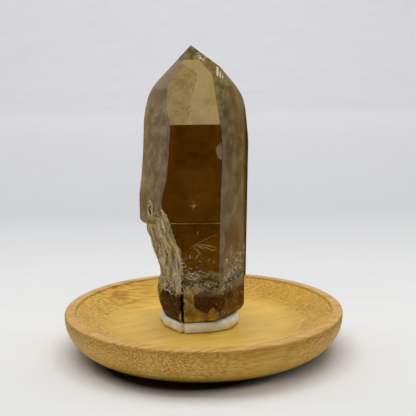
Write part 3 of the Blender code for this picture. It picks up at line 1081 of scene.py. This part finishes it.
    def share(self):
        """How much of the film shows."""
        marks = self.marks
        growth = self.absolute(self.minus(self.height, GROWTH_LINE * MM))
        line = self.times(self.span(growth, 0.00004, 0.00012, 0.4, 0.0),
                          self.minus(1.0, marks["broken"]))
        soiled = self.times(self.strip_low,
                            self.most(self.level(self.mottle, 0.62, 0.86), self.curled))
        faces = self.plus(self.times(marks["end"], self.etched_haze()),
                          self.times(marks["side"], self.side_haze()),
                          self.times(marks["broken"], self.scars()))
        share = self.most(faces, line, self.times(self.fleck, 0.85), soiled)
        # The crack's walls and the right edge show their painted shade in full.
        return self.most(self.most(share, marks["cleft"], clamp=True), self.band)

    def face_colour(self):
        """Dust on the sides, tan and olive on the end faces."""
        dusty = self.tint(self.blotches(0.0045, 0.40, 0.60, 5.0), *DUST)
        patchy = self.tint(self.blotches(0.0017, 0.42, 0.60, 4.0), *OLIVE)
        tint = self.tint(self.olive, self.tint(self.marks["end"], dusty, TAN), patchy)
        return self.tint(self.times(self.marks["left_end"], 0.8), tint, LEFT_END)

    def stain_colour(self):
        """Iron stain of the foot, golden near its bottom, where it also paints a warm highlight."""
        stain = self.tint(self.blotches(0.004, 0.35, 0.65, 5.0), *STAIN)
        stain = self.tint(self.span(self.x, 0.000, 0.009), stain, RIGHT_STAIN)
        # Golden near the bottom of the foot: stain and a painted warm highlight.
        golden = self.times(self.span(self.height, 0.0140, 0.0180, 0.9, 0.0),
                            self.blotches(0.0022, 0.46, 0.58, 4.0))
        return self.tint(self.split, self.tint(golden, stain, GOLDEN_STAIN_AND_PAINTED_HIGHLIGHT), GLASSY_STAIN)

    def colour(self):
        marks = self.marks
        flank = self.tint(self.threads, self.tint(self.ridges, *FLANK), THREAD)
        flank = self.tint(self.times(self.cracks, 0.8), flank, FLANK_CRACK)
        dirt = self.tint(self.blotches(0.0030, 0.42, 0.62, 4.0), *DIRT)
        splinters = self.tint(self.times(self.curled, 0.8), dirt, SPLINTER)
        tint = self.tint(self.strip_low, self.face_colour(), splinters)
        tint = self.tint(marks["broken"], tint, self.tint(self.ledge, flank, splinters))
        tint = self.tint(self.times(self.foot, marks["broken"]), tint, self.stain_colour())
        # Pale crackle on the break, the apex flecks and the painted highlights.
        white = self.most(self.times(marks["broken"], self.crackle), self.fleck)
        # Painted shade: the walls of the crack in the foot turn near black.
        tint = self.tint(marks["cleft"], self.tint(white, tint, CRUSHED), CLEFT_PAINTED_SHADE)
        # Painted shade along the right edge.
        return self.tint(self.span(self.band, 0.0, 0.3), tint, RIGHT_EDGE_PAINTED_SHADE)


def haze_material():
    """Thin haze on the faces, white scars on the break and iron stain on the foot, with painted
    shade and painted highlights.
    """
    material, wire, shader = new_material("Surface Haze", Roughness=0.6, Specular_IOR_Level=0.1)
    film = Film(wire.tree)
    film.fill(shader, Alpha=film.share(), Base_Color=film.colour())
    return material


def crumbs_tree():
    """Scatters small splinters over the broken faces."""
    wire, given, made = mesh_tree("Crumbs on the Break", Surface="Geometry", Density=1.0e6,
                                  Seed=1, Smallest=0.0001, Largest=0.0003)
    chosen = wire.put("FunctionNodeCompare", {"data_type": "FLOAT", "operation": "GREATER_THAN"},
                      wire.stored("broken"), 0.5)
    height = wire.axes(wire.put("GeometryNodeInputPosition"))["Z"]
    density = wire.times(given["Density"],
                         wire.span(wire.cloud(Scale=380.0, Detail=2.0), 0.5, 0.62, 0.06, 1.0),
                         wire.span(height, 0.0225, 0.0250, 0.12, 1.0))
    splinter = wire.put("GeometryNodeMeshIcoSphere", Radius=1.0, Subdivisions=1)
    turn = wire.random(UNTURNED, FULL_TURNS, Seed=given["Seed"])
    limits = [wire.put("ShaderNodeCombineXYZ", X=given[limit], Y=given[limit], Z=given[limit])
              for limit in ("Smallest", "Largest")]
    points, _ = wire.scatter(given, Selection=chosen, Density=density)
    crumbs = wire.put("GeometryNodeInstanceOnPoints", Points=points, Instance=splinter,
                      Rotation=turn, Scale=wire.random(*limits))
    return wire.close(crumbs, given, made)


def string_up(builder, verts):
    """Joins points by edges, in their order."""
    for pair in zip(verts, verts[1:]):
        builder.edges.new(pair)


def build_lines(lines, spot_of):
    """Lines of points with their thickness; spot_of turns a point's numbers into a place."""
    builder = bmesh.new()
    thickness = builder.verts.layers.float.new("thickness")
    for half, *points in lines:
        verts = [builder.verts.new(spot_of(point)) for point in points]
        for vert in verts:
            vert[thickness] = half * MM
        string_up(builder, verts)
    return builder


def on_break(point):
    """Place on the broken surface of (azimuth, height) or (azimuth, height, distance)."""
    azimuth, height, *given = point
    spot = direction(azimuth) * (given[0] if given else break_radius(azimuth, height))
    spot.z = height
    return place(spot)


def inside_front(point):
    """Place just behind the front face of (x, height)."""
    return place((point[0], WISP_DEPTH, point[1]))


def threads_tree():
    """Thin tapered threads that wander along lines of points."""
    wire, given, made = mesh_tree("Threads", Lines="Geometry", Steps=THREAD_STEPS,
                                  Sides=THREAD_SIDES, Wander=THREAD_WANDER)
    path = wire.put("GeometryNodeMeshToCurve", Mesh=given["Lines"])
    path = wire.put("GeometryNodeResampleCurve", Curve=path, Count=given["Steps"])
    cloud = wire.add("ShaderNodeTexNoise", Scale=900.0, Detail=2.0).outputs["Color"]
    centred = wire.vector("SUBTRACT", cloud, (0.5, 0.5, 0.5))
    path = wire.put("GeometryNodeSetPosition", Geometry=path,
                    Offset=wire.vector("SCALE", centred, given["Wander"]))
    along = wire.add("GeometryNodeSplineParameter").outputs["Factor"]
    taper = wire.span(wire.math("SINE", wire.times(along, math.pi)), 0.0, 0.8, 0.15, 1.0)
    circle = wire.put("GeometryNodeCurvePrimitiveCircle", Resolution=given["Sides"], Radius=1.0)
    tube = wire.put("GeometryNodeCurveToMesh", Curve=path, Profile_Curve=circle,
                    Scale=wire.times(wire.stored("thickness"), taper), Fill_Caps=True)
    return wire.close(tube, given, made)


def hairs_tree():
    """Scatters short curved hairs over a band of the crystal."""
    wire, given, made = mesh_tree("Hairs on the Foot", Surface="Geometry", Density=1.0e6, Seed=1,
                                  Low=0.023, High=0.030, Smallest=0.0003, Largest=0.001)
    _, y, z = wire.axes(wire.put("GeometryNodeInputPosition"))
    band = wire.times(wire.span(wire.minus(z, given["Low"]), 0.0, 0.0015),
                      wire.span(wire.minus(given["High"], z), 0.0, 0.003))
    clumps = wire.span(wire.cloud(Scale=420.0, Detail=2.0), 0.42, 0.6, 0.1, 1.0)
    density = wire.times(given["Density"], band, wire.fall(y, -0.008, -0.002), clumps)
    bow = wire.put("GeometryNodeCurveQuadraticBezier", Resolution=5, Start=(-1.0, 0.0, 0.0),
                   Middle=(0.1, 0.6, 0.0), End=(1.0, 0.1, 0.0))
    circle = wire.put("GeometryNodeCurvePrimitiveCircle", Resolution=4, Radius=0.10)
    hair = wire.put("GeometryNodeCurveToMesh", Curve=bow, Profile_Curve=circle, Fill_Caps=True)
    spin = wire.random(UNTURNED, (0.0, 0.0, math.tau), Seed=given["Seed"])
    length = wire.put("FunctionNodeRandomValue", {"data_type": "FLOAT"}, given["Smallest"],
                      given["Largest"], Seed=given["Seed"])
    points, upright = wire.scatter(given, Density=density)
    turn = wire.put("FunctionNodeRotateRotation", {"rotation_space": "LOCAL"},
                    Rotation=upright, Rotate_By=spin)
    hairs = wire.put("GeometryNodeInstanceOnPoints", Points=points, Instance=hair,
                     Rotation=turn, Scale=length)
    return wire.close(hairs, given, made)


def face_outwards(obj):
    builder = bmesh.new()
    builder.from_mesh(obj.data)
    bmesh.ops.recalc_face_normals(builder, faces=builder.faces[:])
    builder.to_mesh(obj.data)
    builder.free()
    return obj


def sheet_point(sheet, number, side, u, v):
    """Place of a point on one side of a waving sheet, u and v running from -1 to 1."""
    centre, half_width, half_height, roll, turn, tip = sheet
    pose = (Quaternion((0, 0, 1), math.radians(turn)) @ Quaternion((1, 0, 0), math.radians(-tip))
            @ Quaternion((0, 1, 0), math.radians(-roll)))
    edge = 1.0 - max(abs(u), abs(v)) ** 6
    wave = bumps(2.2 * u, 2.2 * v, 5.3 * number) + 0.35 * bumps(7.0 * u, 7.0 * v, 3.1 * number)
    ragged = 1.0 + 0.16 * bumps(3.0 * u, 3.0 * v, 9.7 + number)
    local = Vector((u * half_width * ragged, 0.9 * wave + side * VEIL_THICKNESS * edge,
                    v * half_height * ragged))
    return place(Vector(centre) + pose @ local)


def build_sheets(sheets, steps=28):
    """Thin closed sheets that wave inside the crystal; share fades to their edges."""
    builder = bmesh.new()
    share = builder.verts.layers.float.new("share")
    spread = [2.0 * step / steps - 1.0 for step in range(steps + 1)]
    for number, sheet in enumerate(sheets):
        for side in (-1.0, 1.0):
            rows = []
            for v in spread:
                row = [builder.verts.new(sheet_point(sheet, number, side, u, v)) for u in spread]
                for u, vert in zip(spread, row):
                    vert[share] = (smooth_step(3.0 * (1.0 - abs(u))) * smooth_step(1.1 + v)
                                   * smooth_step(14.0 * (1.0 - v)))
                rows.append(row)
            for low, high in zip(rows, rows[1:]):
                for corners in zip(low, low[1:], high[1:], high):
                    builder.faces.new(corners)
    bmesh.ops.remove_doubles(builder, verts=builder.verts[:], dist=1e-7)
    return builder


def veil_material():
    """Healed cracks, seen as pale clouds and wisps that glow with painted light."""
    # The emission is painted light: the veils glow though they are no lamp.
    material, wire, shader = new_material(
        "Inner Veils", Base_Color=(0.80, 0.66, 0.42), Roughness=0.7,
        Emission_Color=(0.25, 0.165, 0.03), Emission_Strength=1.0)
    cloud = wire.level(wire.blotches(0.004, 0.4, 0.65, 4.0), 0.02, 0.11)
    wisps = wire.times(wire.hair_lines(0.005, 4.0, 0.07),
                       wire.blotches(0.006, 0.48, 0.56), 0.12)
    wire.fill(shader, Alpha=wire.times(wire.most(cloud, wisps), wire.mark("share"), clamp=True))
    return material


def smoke_zone_material():
    """Darker smoke that follows the crystal's growth."""
    material, wire, shader = new_material("Smoke Zones", Base_Color=(0.030, 0.008, 0.001),
                                          Roughness=0.8)
    cloud = wire.level(wire.blotches(0.007, 0.35, 0.65), 0.03, 0.18)
    wire.fill(shader, Alpha=wire.times(cloud, wire.mark("share")))
    return material


def build_star():
    """Small star of fine needles inside the crystal."""
    builder = bmesh.new()
    for angle, length in ((4.0, 2.3), (86.0, 1.9), (48.0, 1.0), (138.0, 0.9)):
        made = bmesh.ops.create_icosphere(builder, subdivisions=1, radius=1.0)
        spin = Quaternion((0, 1, 0), math.radians(angle))
        for vert in made["verts"]:
            local = Vector((0.055 * vert.co.x, 0.055 * vert.co.y, length * vert.co.z))
            vert.co = place(Vector(STAR) + spin @ local)
    return builder


def thread_pieces(bruised, healed):
    """Threads of the break, dark tubes of painted shade in its open cracks, and the healed cracks
    inside.
    """
    dark = mottled_material("Open Crack", 0.001, CRACK_PAINTED_SHADE, Roughness=0.7)
    tree = threads_tree()
    for name, lines, spot_of, finish in (
            ("break_ridges", RIDGE_LINES, on_break, bruised),
            ("break_cracks", CRACK_LINES, on_break, dark),
            ("inner_wisps", WISP_LINES, inside_front, healed)):
        piece = make_object(name, build_lines(lines, spot_of))
        yield face_outwards(run_tree(piece, tree, {
            "Steps": THREAD_STEPS, "Sides": THREAD_SIDES, "Wander": THREAD_WANDER,
            "Material": finish}))


def crumbs_piece(crystal, density, finish):
    """Crumbs of crushed quartz on the broken faces."""
    return run_tree(copy_of(crystal, "quartz_crumbs"), crumbs_tree(), {
        "Density": density, "Seed": CRUMB_SEED, "Smallest": CRUMB_SIZES[0],
        "Largest": CRUMB_SIZES[1], "Material": finish})


def hairs_piece(crystal, finish):
    """Short curved hairs in a band above the foot."""
    return face_outwards(run_tree(copy_of(crystal, "foot_hairs"), hairs_tree(), {
        "Density": HAIR_DENSITY, "Seed": HAIR_SEED, "Low": HAIR_BAND[0],
        "High": HAIR_BAND[1], "Smallest": HAIR_SIZES[0], "Largest": HAIR_SIZES[1],
        "Material": finish}))


class QUARTZ_OT_crystal(bpy.types.Operator):
    """Build the smoky quartz crystal with its flat faces, broken flank and pitted foot"""

    bl_idname = "quartz.crystal"
    bl_label = "Crystal"

    def execute(self, context):
        settings = context.scene.quartz_point
        crystal = build_crystal(settings)
        finish_piece(crystal, "smoky_quartz", "quartz_point")
        crushed = mottled_material("Crushed Quartz", 0.002, CRUMBS, Roughness=0.5,
                                   Specular_IOR_Level=0.25)
        bruised, _, _ = new_material("Bruised Edges", Base_Color=BRUISED, **MATT)
        # The healed cracks and the needle star glow with painted light.
        healed = mottled_material("Healed Cracks", 0.001, WISPS, Roughness=0.7,
                                  Emission_Color=(0.62, 0.50, 0.28), Emission_Strength=0.4)
        for piece in (
                make_object("surface_haze", inflated(crystal, FILM_LIFT), haze_material()),
                crumbs_piece(crystal, settings.crumb_density, crushed),
                make_object("inner_veils", build_sheets(VEILS), veil_material()),
                make_object("smoke_zones", build_sheets(SMOKE_ZONES), smoke_zone_material()),
                *thread_pieces(bruised, healed),
                hairs_piece(crystal, bruised),
                make_object("needle_star", build_star(), healed)):
            finish_piece(piece, "smoky_quartz")
        return {"FINISHED"}


# Putty

def putty_radius(azimuth):
    """Radius of the pad's outline, with its corners slightly rounded off."""
    def straight(turned):
        out = direction(turned)
        hits = []
        closed = PUTTY_CORNERS + PUTTY_CORNERS[:1]
        for (x1, y1), (x2, y2) in zip(closed, closed[1:]):
            normal = Vector((y2 - y1, x1 - x2, 0.0)).normalized()
            facing = normal.dot(out)
            if facing > 0.05:
                hits.append((normal.x * x1 + normal.y * y1) / facing)
        return min(hits)
    return (straight(azimuth - 4.0) + 2.0 * straight(azimuth) + straight(azimuth + 4.0)) / 4.0


def putty_ring(height, inset, step):
    def radius_at(azimuth):
        side = direction(azimuth)
        lump = bumps(2.6 * side.x, 2.6 * side.y, 0.5 * height + 3.0)
        lump += 0.5 * bumps(8.0 * side.x, 8.0 * side.y, 1.1 * height)
        pinch = max(0.0, 1.0 - away(azimuth, PUTTY_PINCH) / 3.4)
        return putty_radius(azimuth) - inset + PUTTY_LUMP * lump - 1.9 * pinch
    return ring_of(radius_at, height, step)


def build_putty(step):
    """Hand-pressed pad with a rounded roll round the crystal's foot."""
    middle = 0.5 * (PUTTY_TOP + PUTTY_BOTTOM)
    half = 0.5 * (PUTTY_TOP - PUTTY_BOTTOM)
    rings = []
    for row in range(13):
        turn = math.radians(-90.0 + 15.0 * row)
        rings.append(putty_ring(middle + half * math.sin(turn), 1.3 * (1.0 - math.cos(turn)), step))
    inner_heights = [PUTTY_TOP - 0.15 * row for row in range(1, 10)]
    socket = [break_ring(height, step, PUTTY_CONTACT) for height in inner_heights]
    floor_ring = [(x, y, FOOT_BOTTOM - PUTTY_CONTACT) for x, y, _ in socket[-1]]
    return loft(rings + socket + [floor_ring])


def putty_material(settings):
    dull = Vector(settings.colour) * 0.86
    material = mottled_material("Putty", 0.003, (settings.colour, dull), Roughness=0.55)
    wire = Wiring(material.node_tree)
    prints = wire.blotches(0.0012, 0.3, 0.7)
    bump = wire.put("ShaderNodeBump", Height=prints, Strength=0.3, Distance=0.0001)
    wire.fill(material.node_tree.nodes["Principled BSDF"], Normal=bump)
    return material


class QUARTZ_OT_putty(bpy.types.Operator):
    """Build the pressed putty that holds the crystal upright"""

    bl_idname = "quartz.putty"
    bl_label = "Putty"

    def execute(self, context):
        settings = context.scene.quartz_putty
        putty = make_object("putty", build_putty(1.5), putty_material(settings))
        putty.data.shade_smooth()
        finish_piece(putty, "putty", "putty_pad")
        return {"FINISHED"}


# Dish

def dish_profile(rim_radius):
    """Half section from the middle of the underside round to the middle of the floor."""
    inner_edge = rim_radius - RIM_WIDTH
    floor = RIM_HEIGHT - FLOOR_DEPTH
    points = [(0.0, 0.0), (FOOT_RADIUS - 0.8, 0.0), (FOOT_RADIUS, 0.4)]
    for step in range(1, 13):
        turn = math.radians(7.5 * step)
        points.append((FOOT_RADIUS + (rim_radius - FOOT_RADIUS) * math.sin(turn),
                       0.4 + (RIM_HEIGHT - 2.0) * (1.0 - math.cos(turn))))
    points += [(rim_radius, RIM_HEIGHT - 0.55), (rim_radius - 0.15, RIM_HEIGHT - 0.15),
               (rim_radius - 0.5, RIM_HEIGHT + 0.12), (rim_radius - 1.9, RIM_HEIGHT + RIM_CROWN),
               (inner_edge + 0.3, RIM_HEIGHT + 0.2), (inner_edge, RIM_HEIGHT - 0.1),
               (inner_edge - 0.2, RIM_HEIGHT - STEP_DEPTH)]
    slope_top = inner_edge - 0.2
    for step in range(1, 13):
        share = step / 12.0
        fall = (FLOOR_DEPTH - STEP_DEPTH) * math.sin(share * math.pi / 2)
        points.append((slope_top + (FLOOR_RADIUS - slope_top) * share,
                       RIM_HEIGHT - STEP_DEPTH - fall))
    points.append((0.0, floor))
    return points


def lathe_tree():
    """Turns a half section round the upright axis and marks how steep it is."""
    wire, given, made = mesh_tree("Lathe", Section="Geometry", Steps=64, Turning_Radius=0.05)
    section = wire.put("GeometryNodeMeshToCurve", Mesh=given["Section"])
    circle = wire.put("GeometryNodeCurvePrimitiveCircle", Resolution=given["Steps"],
                      Radius=given["Turning Radius"])
    upright = wire.put("GeometryNodeSetCurveNormal", {"mode": "Z_UP"}, Curve=circle)
    turned = wire.put("GeometryNodeCurveToMesh", Curve=upright, Profile_Curve=section)
    merged = wire.put("GeometryNodeMergeByDistance", Geometry=turned, Distance=1.0e-6)
    facing = wire.axes(wire.put("GeometryNodeInputNormal"))["Z"]
    marked = wire.put("GeometryNodeStoreNamedAttribute",
                      {"data_type": "FLOAT", "domain": "POINT"}, Geometry=merged, Name="steep",
                      Value=wire.minus(1.0, wire.absolute(facing)))
    return wire.close(marked, given, made)


def build_section(radius):
    """Half section as a line of points, drawn from the turning radius inwards."""
    builder = bmesh.new()
    verts = [builder.verts.new((x * MM - radius, -z * MM, 0.0))
             for x, z in dish_profile(radius / MM)]
    string_up(builder, verts)
    return builder


class Bamboo(Wiring):
    """Masks and colours of the turned bamboo."""

    def __init__(self, tree, settings):
        super().__init__(tree)
        self.settings = settings
        self.radius = settings.radius
        self.x, self.y, self.z = self.axes(self.where)
        self.plain = self.put("ShaderNodeCombineXYZ", X=self.x, Y=self.y)
        self.reach = self.vector("LENGTH", self.plain)
        self.rim = self.times(
            self.span(self.reach, self.radius - 0.0040, self.radius - 0.0038),
            self.span(self.z, RIM_HEIGHT * MM - 0.0004, RIM_HEIGHT * MM))
        self.slope = self.times(
            self.span(self.reach, 0.028, 0.038),
            self.fall(self.reach, self.radius - 0.0041, self.radius - 0.0039))
        self.dots, self.lattice = self.bundles()

    def grain(self, scale, where=None):
        """Coordinates along the fibres, stretched."""
        return self.turned((0.0, 0.0, -self.settings.fibre_angle), scale, where)

    def bundles(self):
        """Cut ends of the fibre bundles and the paler lattice between them."""
        lengthwise = self.axes(self.grain((1.0, 1.0, 1.0), self.plain))["X"]
        ends = self.absolute(self.math("DIVIDE", lengthwise, self.reach))
        grained = self.times(self.span(self.mark("steep"), 0.0, 0.04, 0.12, 1.0),
                             self.span(ends, 0.15, 0.6, 0.4, 1.0), self.level(self.rim, 1.0, 0.1))
        spread = self.axes(self.grain(BUNDLE_PACKING))
        section = self.put("ShaderNodeCombineXYZ", X=spread["Y"], Y=spread["Z"], Z=spread["X"])
        cells = self.put("ShaderNodeTexVoronoi", Vector=section, Scale=1.0, Randomness=0.8)
        return (self.times(self.fall(cells, 0.18, 0.52), grained),
                self.times(self.span(cells, 0.40, 0.7), grained))

    def ground(self):
        """Colour of the fibres, with painted shade on the inner slope, most towards the back right,
        and on the outer wall below the rim.
        """
        reach = self.reach
        fibres = self.blotches(0.0005, 0.42, 0.58, where=self.grain((0.03, 1.0, 1.0)))
        strips = self.blotches(0.012, 0.4, 0.6, 1.0, where=self.grain((0.05, 1.0, 0.1)))
        patches = self.blotches(0.006, 0.45, 0.62, 4.0, where=self.grain((0.3, 1.0, 1.0)))
        shade = self.plus(self.times(fibres, 0.32), self.times(strips, 0.14),
                          self.times(patches, 0.16))
        tint = self.tint(shade, self.settings.light_colour, self.settings.dark_colour)
        # Painted shade: the inner slope darkens, most towards the back right.
        to_corner = self.span(self.plus(self.x, self.y), 0.010, 0.045, 0.36, 0.62)
        tint = self.tint(self.times(self.slope, to_corner), tint, SLOPE_PAINTED_SHADE)
        # Painted shade: the outer wall darkens below the rim, most just under it.
        below_rim = self.span(self.z, RIM_HEIGHT * MM - 0.0045, RIM_HEIGHT * MM - 0.0008,
                              0.62, 0.95)
        outside = self.times(
            self.span(reach, FOOT_RADIUS * MM, FOOT_RADIUS * MM + 0.002),
            self.span(reach, self.radius - 0.0100, self.radius - 0.0004, 0.7, 1.0),
            self.fall(self.slope, 0.0, 0.2))
        return self.tint(self.times(below_rim, outside), tint, OUTER_WALL_PAINTED_SHADE)

    def colour(self):
        pale = self.times(self.lattice, self.level(self.slope, 0.38, 0.12))
        tint = self.tint(pale, self.ground(), LATTICE_PALE)
        tint = self.tint(self.times(self.dots, 0.88), tint, DOT_BROWN)
        bars = self.blotches(0.0008, 0.42, 0.60, where=self.grain((0.08, 1.0, 1.0)))
        tint = self.tint(self.times(self.rim, 0.85), tint, self.tint(bars, *RIM_BARS))
        inner_line = self.absolute(self.minus(self.reach, self.radius - RIM_WIDTH * MM))
        tint = self.tint(self.span(inner_line, 0.0001, 0.0005, 0.25, 0.0), tint, RIM_EDGE)
        swirl = self.vector("DISTANCE", self.where, tuple(Vector(KNOT) * MM))
        knot = self.times(
            self.fall(swirl, 0.005, 0.017),
            self.blotches(0.0013, 0.46, 0.60, where=self.grain((0.16, 1.0, 1.0))), 0.75)
        tint = self.tint(knot, tint, KNOT_BROWN)
        # Painted shade: the wall turns near black in its lowest millimetres.
        return self.tint(self.span(self.z, 0.0010, 0.0050, 0.95, 0.0), tint, UNDERSIDE_PAINTED_SHADE)


def bamboo_material(settings):
    """Bamboo whose fibre bundles show as dots where they end and as streaks where they run."""
    material, wire, shader = new_material("Bamboo", Specular_IOR_Level=0.15)
    bamboo = Bamboo(wire.tree, settings)
    bump = wire.put("ShaderNodeBump", Height=wire.minus(1.0, bamboo.dots), Strength=0.3,
                    Distance=0.00008)
    wire.fill(shader, Base_Color=bamboo.colour(), Normal=bump,
              Roughness=wire.level(bamboo.dots, 0.42, 0.58))
    return material


class QUARTZ_OT_dish(bpy.types.Operator):
    """Build the turned bamboo dish"""

    bl_idname = "quartz.dish"
    bl_label = "Dish"

    def execute(self, context):
        settings = context.scene.quartz_dish
        dish = make_object("dish", build_section(settings.radius))
        run_tree(dish, lathe_tree(), {"Steps": settings.steps, "Turning Radius": settings.radius,
                                      "Material": bamboo_material(settings)})
        dish.data.shade_smooth()
        dish.data.set_sharp_from_angle(angle=math.radians(12))
        finish_piece(dish, "bamboo", "bamboo_dish")
        return {"FINISHED"}


# Studio

def backdrop_material():
    """Pale paper that greys towards the back with painted shade, and has a painted shadow under the
    dish.
    """
    material, wire, shader = new_material("Backdrop Paper", **MATT)
    depth = wire.axes(wire.where)["Y"]
    # Painted shade: the floor greys towards the back.
    grey = wire.tint(wire.span(depth, 0.04, 0.27), *FLOOR_GREYS_PAINTED_FALLOFF)
    grey = wire.tint(wire.span(depth, 0.29, 1.15), grey, WALL_GREY)
    mottle = wire.blotches(0.02, 0.3, 0.7, 5.0, wire.turned(UNTURNED, (0.4, 1.0, 1.0)))
    grey = wire.tint(wire.times(mottle, 0.07), grey, MOTTLE_GREY)
    # Painted shadow: the paper darkens in a small ellipse under the dish.
    near = wire.put("ShaderNodeMapping", Vector=wire.where, Location=(0.006, 0.0055, 0.0),
                    Scale=(1.2, 1.0, 1.0))
    near = wire.span(wire.vector("LENGTH", near), 0.0375, 0.0448)
    wire.fill(shader, Base_Color=wire.tint(near, PAINTED_SHADOW_UNDER_DISH, grey))
    return material


def backdrop_line():
    """Rounded line of the wall all round, as (point, inward direction)."""
    half_width, back, corner, front = 1.0, 1.6, 0.6, -1.8
    middles = ((corner - half_width, front + corner), (corner - half_width, back - corner),
               (half_width - corner, back - corner), (half_width - corner, front + corner))
    line = []
    for number, middle in enumerate(middles):
        for step in range(13):
            turn = math.radians(90.0 * number - 90.0 + 7.5 * step)
            outward = Vector((-math.cos(turn), math.sin(turn), 0.0))
            line.append((Vector((*middle, 0.0)) + outward * corner, -outward))
    return line


def build_backdrop():
    """Floor that sweeps up into a wall all round."""
    sweep, top = 0.3, 1.6
    builder = bmesh.new()
    columns = []
    for point, inward in backdrop_line():
        column = []
        for step in range(13):
            turn = math.radians(7.5 * step)
            height = sweep * (1.0 - math.cos(turn))
            spot = point + inward * (sweep * (1.0 - math.sin(turn))) + Vector((0.0, 0.0, height))
            column.append(builder.verts.new(spot))
        column.append(builder.verts.new(point + Vector((0.0, 0.0, top))))
        columns.append(column)
    for first, second in zip(columns, columns[1:] + columns[:1]):
        for low, high in zip(range(13), range(1, 14)):
            builder.faces.new((first[low], first[high], second[high], second[low]))
    builder.faces.new([column[0] for column in columns])
    return builder


def point_at(obj, place_at, rotation):
    obj.location = place_at
    obj.rotation_mode = "QUATERNION"
    obj.rotation_quaternion = rotation
    bpy.context.scene.collection.objects.link(obj)


def add_softbox(name, place_at, aim, size, power):
    light = bpy.data.lights.new(name, "AREA")
    light.shape = "RECTANGLE"
    light.size, light.size_y = size
    light.energy = power
    point_at(bpy.data.objects.new(name, light), place_at,
             (Vector(aim) - Vector(place_at)).to_track_quat("-Z", "Y"))


def add_card(name, across, along, rise, level):
    """Card that rises to one side and shows in reflections alone."""
    builder = bmesh.new()
    corners = [(across[0], along[0], CARD_HEIGHT), (across[1], along[0], CARD_HEIGHT + rise),
               (across[1], along[1], CARD_HEIGHT + rise), (across[0], along[1], CARD_HEIGHT)]
    builder.faces.new([builder.verts.new(corner) for corner in corners])
    grey, _, _ = new_material(name.replace("_", " ").title(), Base_Color=(level,) * 3, **MATT)
    card = make_object(name, builder, grey)
    card.visible_camera = False
    card.visible_diffuse = False
    card.visible_transmission = False
    card.visible_shadow = False


def add_room(scene, level):
    """Even light of the room, brighter where the camera sees it."""
    world = bpy.data.worlds.new("Room")
    world.use_nodes = True
    wire = Wiring(world.node_tree)
    seen = wire.add("ShaderNodeLightPath").outputs["Is Camera Ray"]
    wire.fill(world.node_tree.nodes["Background"], Color=(0.95, 0.97, 1.0),
              Strength=wire.blend(seen, level, SEEN_ROOM_LEVEL))
    scene.world = world


def add_camera(scene):
    camera = bpy.data.objects.new("camera", bpy.data.cameras.new("camera"))
    camera.data.sensor_width = CAMERA_SENSOR
    camera.data.lens = CAMERA_LENS
    camera.data.clip_start = 0.01
    tilt = Quaternion((1, 0, 0), math.radians(90.0 - CAMERA_DROP))
    point_at(camera, CAMERA_PLACE, tilt @ Quaternion((0, 0, 1), math.radians(-CAMERA_ROLL)))
    scene.camera = camera


class QUARTZ_OT_studio(bpy.types.Operator):
    """Build the floor, the lights and the camera"""

    bl_idname = "quartz.studio"
    bl_label = "Studio"

    def execute(self, context):
        settings = context.scene.quartz_studio
        scene = context.scene
        backdrop = make_object("backdrop", build_backdrop(), backdrop_material())
        backdrop.data.shade_smooth()
        for card in CARDS:
            add_card(*card)
        for name, place_at, aim, size, power in SOFTBOXES:
            add_softbox(name, place_at, aim, size, getattr(settings, power))
        add_room(scene, settings.sky_level)
        add_camera(scene)
        scene.view_settings.view_transform = "Standard"
        scene.cycles.max_bounces = LIGHT_BOUNCES
        scene.cycles.transmission_bounces = LIGHT_BOUNCES
        scene.cycles.transparent_max_bounces = LIGHT_BOUNCES
        return {"FINISHED"}


# Panel and registration

class QUARTZ_PT_panel(bpy.types.Panel):
    """Lists the pieces of the quartz point and their settings"""

    bl_idname = "QUARTZ_PT_panel"
    bl_label = "Quartz Point"
    bl_space_type = "VIEW_3D"
    bl_region_type = "UI"
    bl_category = "Quartz Point"

    def draw(self, context):
        for operator, group in STEPS:
            box = self.layout.box()
            box.operator(operator.bl_idname)
            values = getattr(context.scene, group)
            for name in values.bl_rna.properties.keys():
                if name not in ("rna_type", "name"):
                    box.prop(values, name)


GROUPS = {
    "quartz_point": QuartzPointSettings,
    "quartz_putty": PuttySettings,
    "quartz_dish": DishSettings,
    "quartz_studio": StudioSettings,
}
STEPS = (
    (QUARTZ_OT_crystal, "quartz_point"),
    (QUARTZ_OT_putty, "quartz_putty"),
    (QUARTZ_OT_dish, "quartz_dish"),
    (QUARTZ_OT_studio, "quartz_studio"),
)
CLASSES = (*GROUPS.values(), *(operator for operator, _ in STEPS), QUARTZ_PT_panel)


def register():
    for item in CLASSES:
        bpy.utils.register_class(item)
    for name, group in GROUPS.items():
        setattr(bpy.types.Scene, name, PointerProperty(type=group))


def unregister():
    for name in GROUPS:
        delattr(bpy.types.Scene, name)
    for item in reversed(CLASSES):
        bpy.utils.unregister_class(item)


def main():
    register()
    bpy.ops.quartz.crystal()
    bpy.ops.quartz.putty()
    bpy.ops.quartz.dish()
    bpy.ops.quartz.studio()


if __name__ == "__main__":
    main()
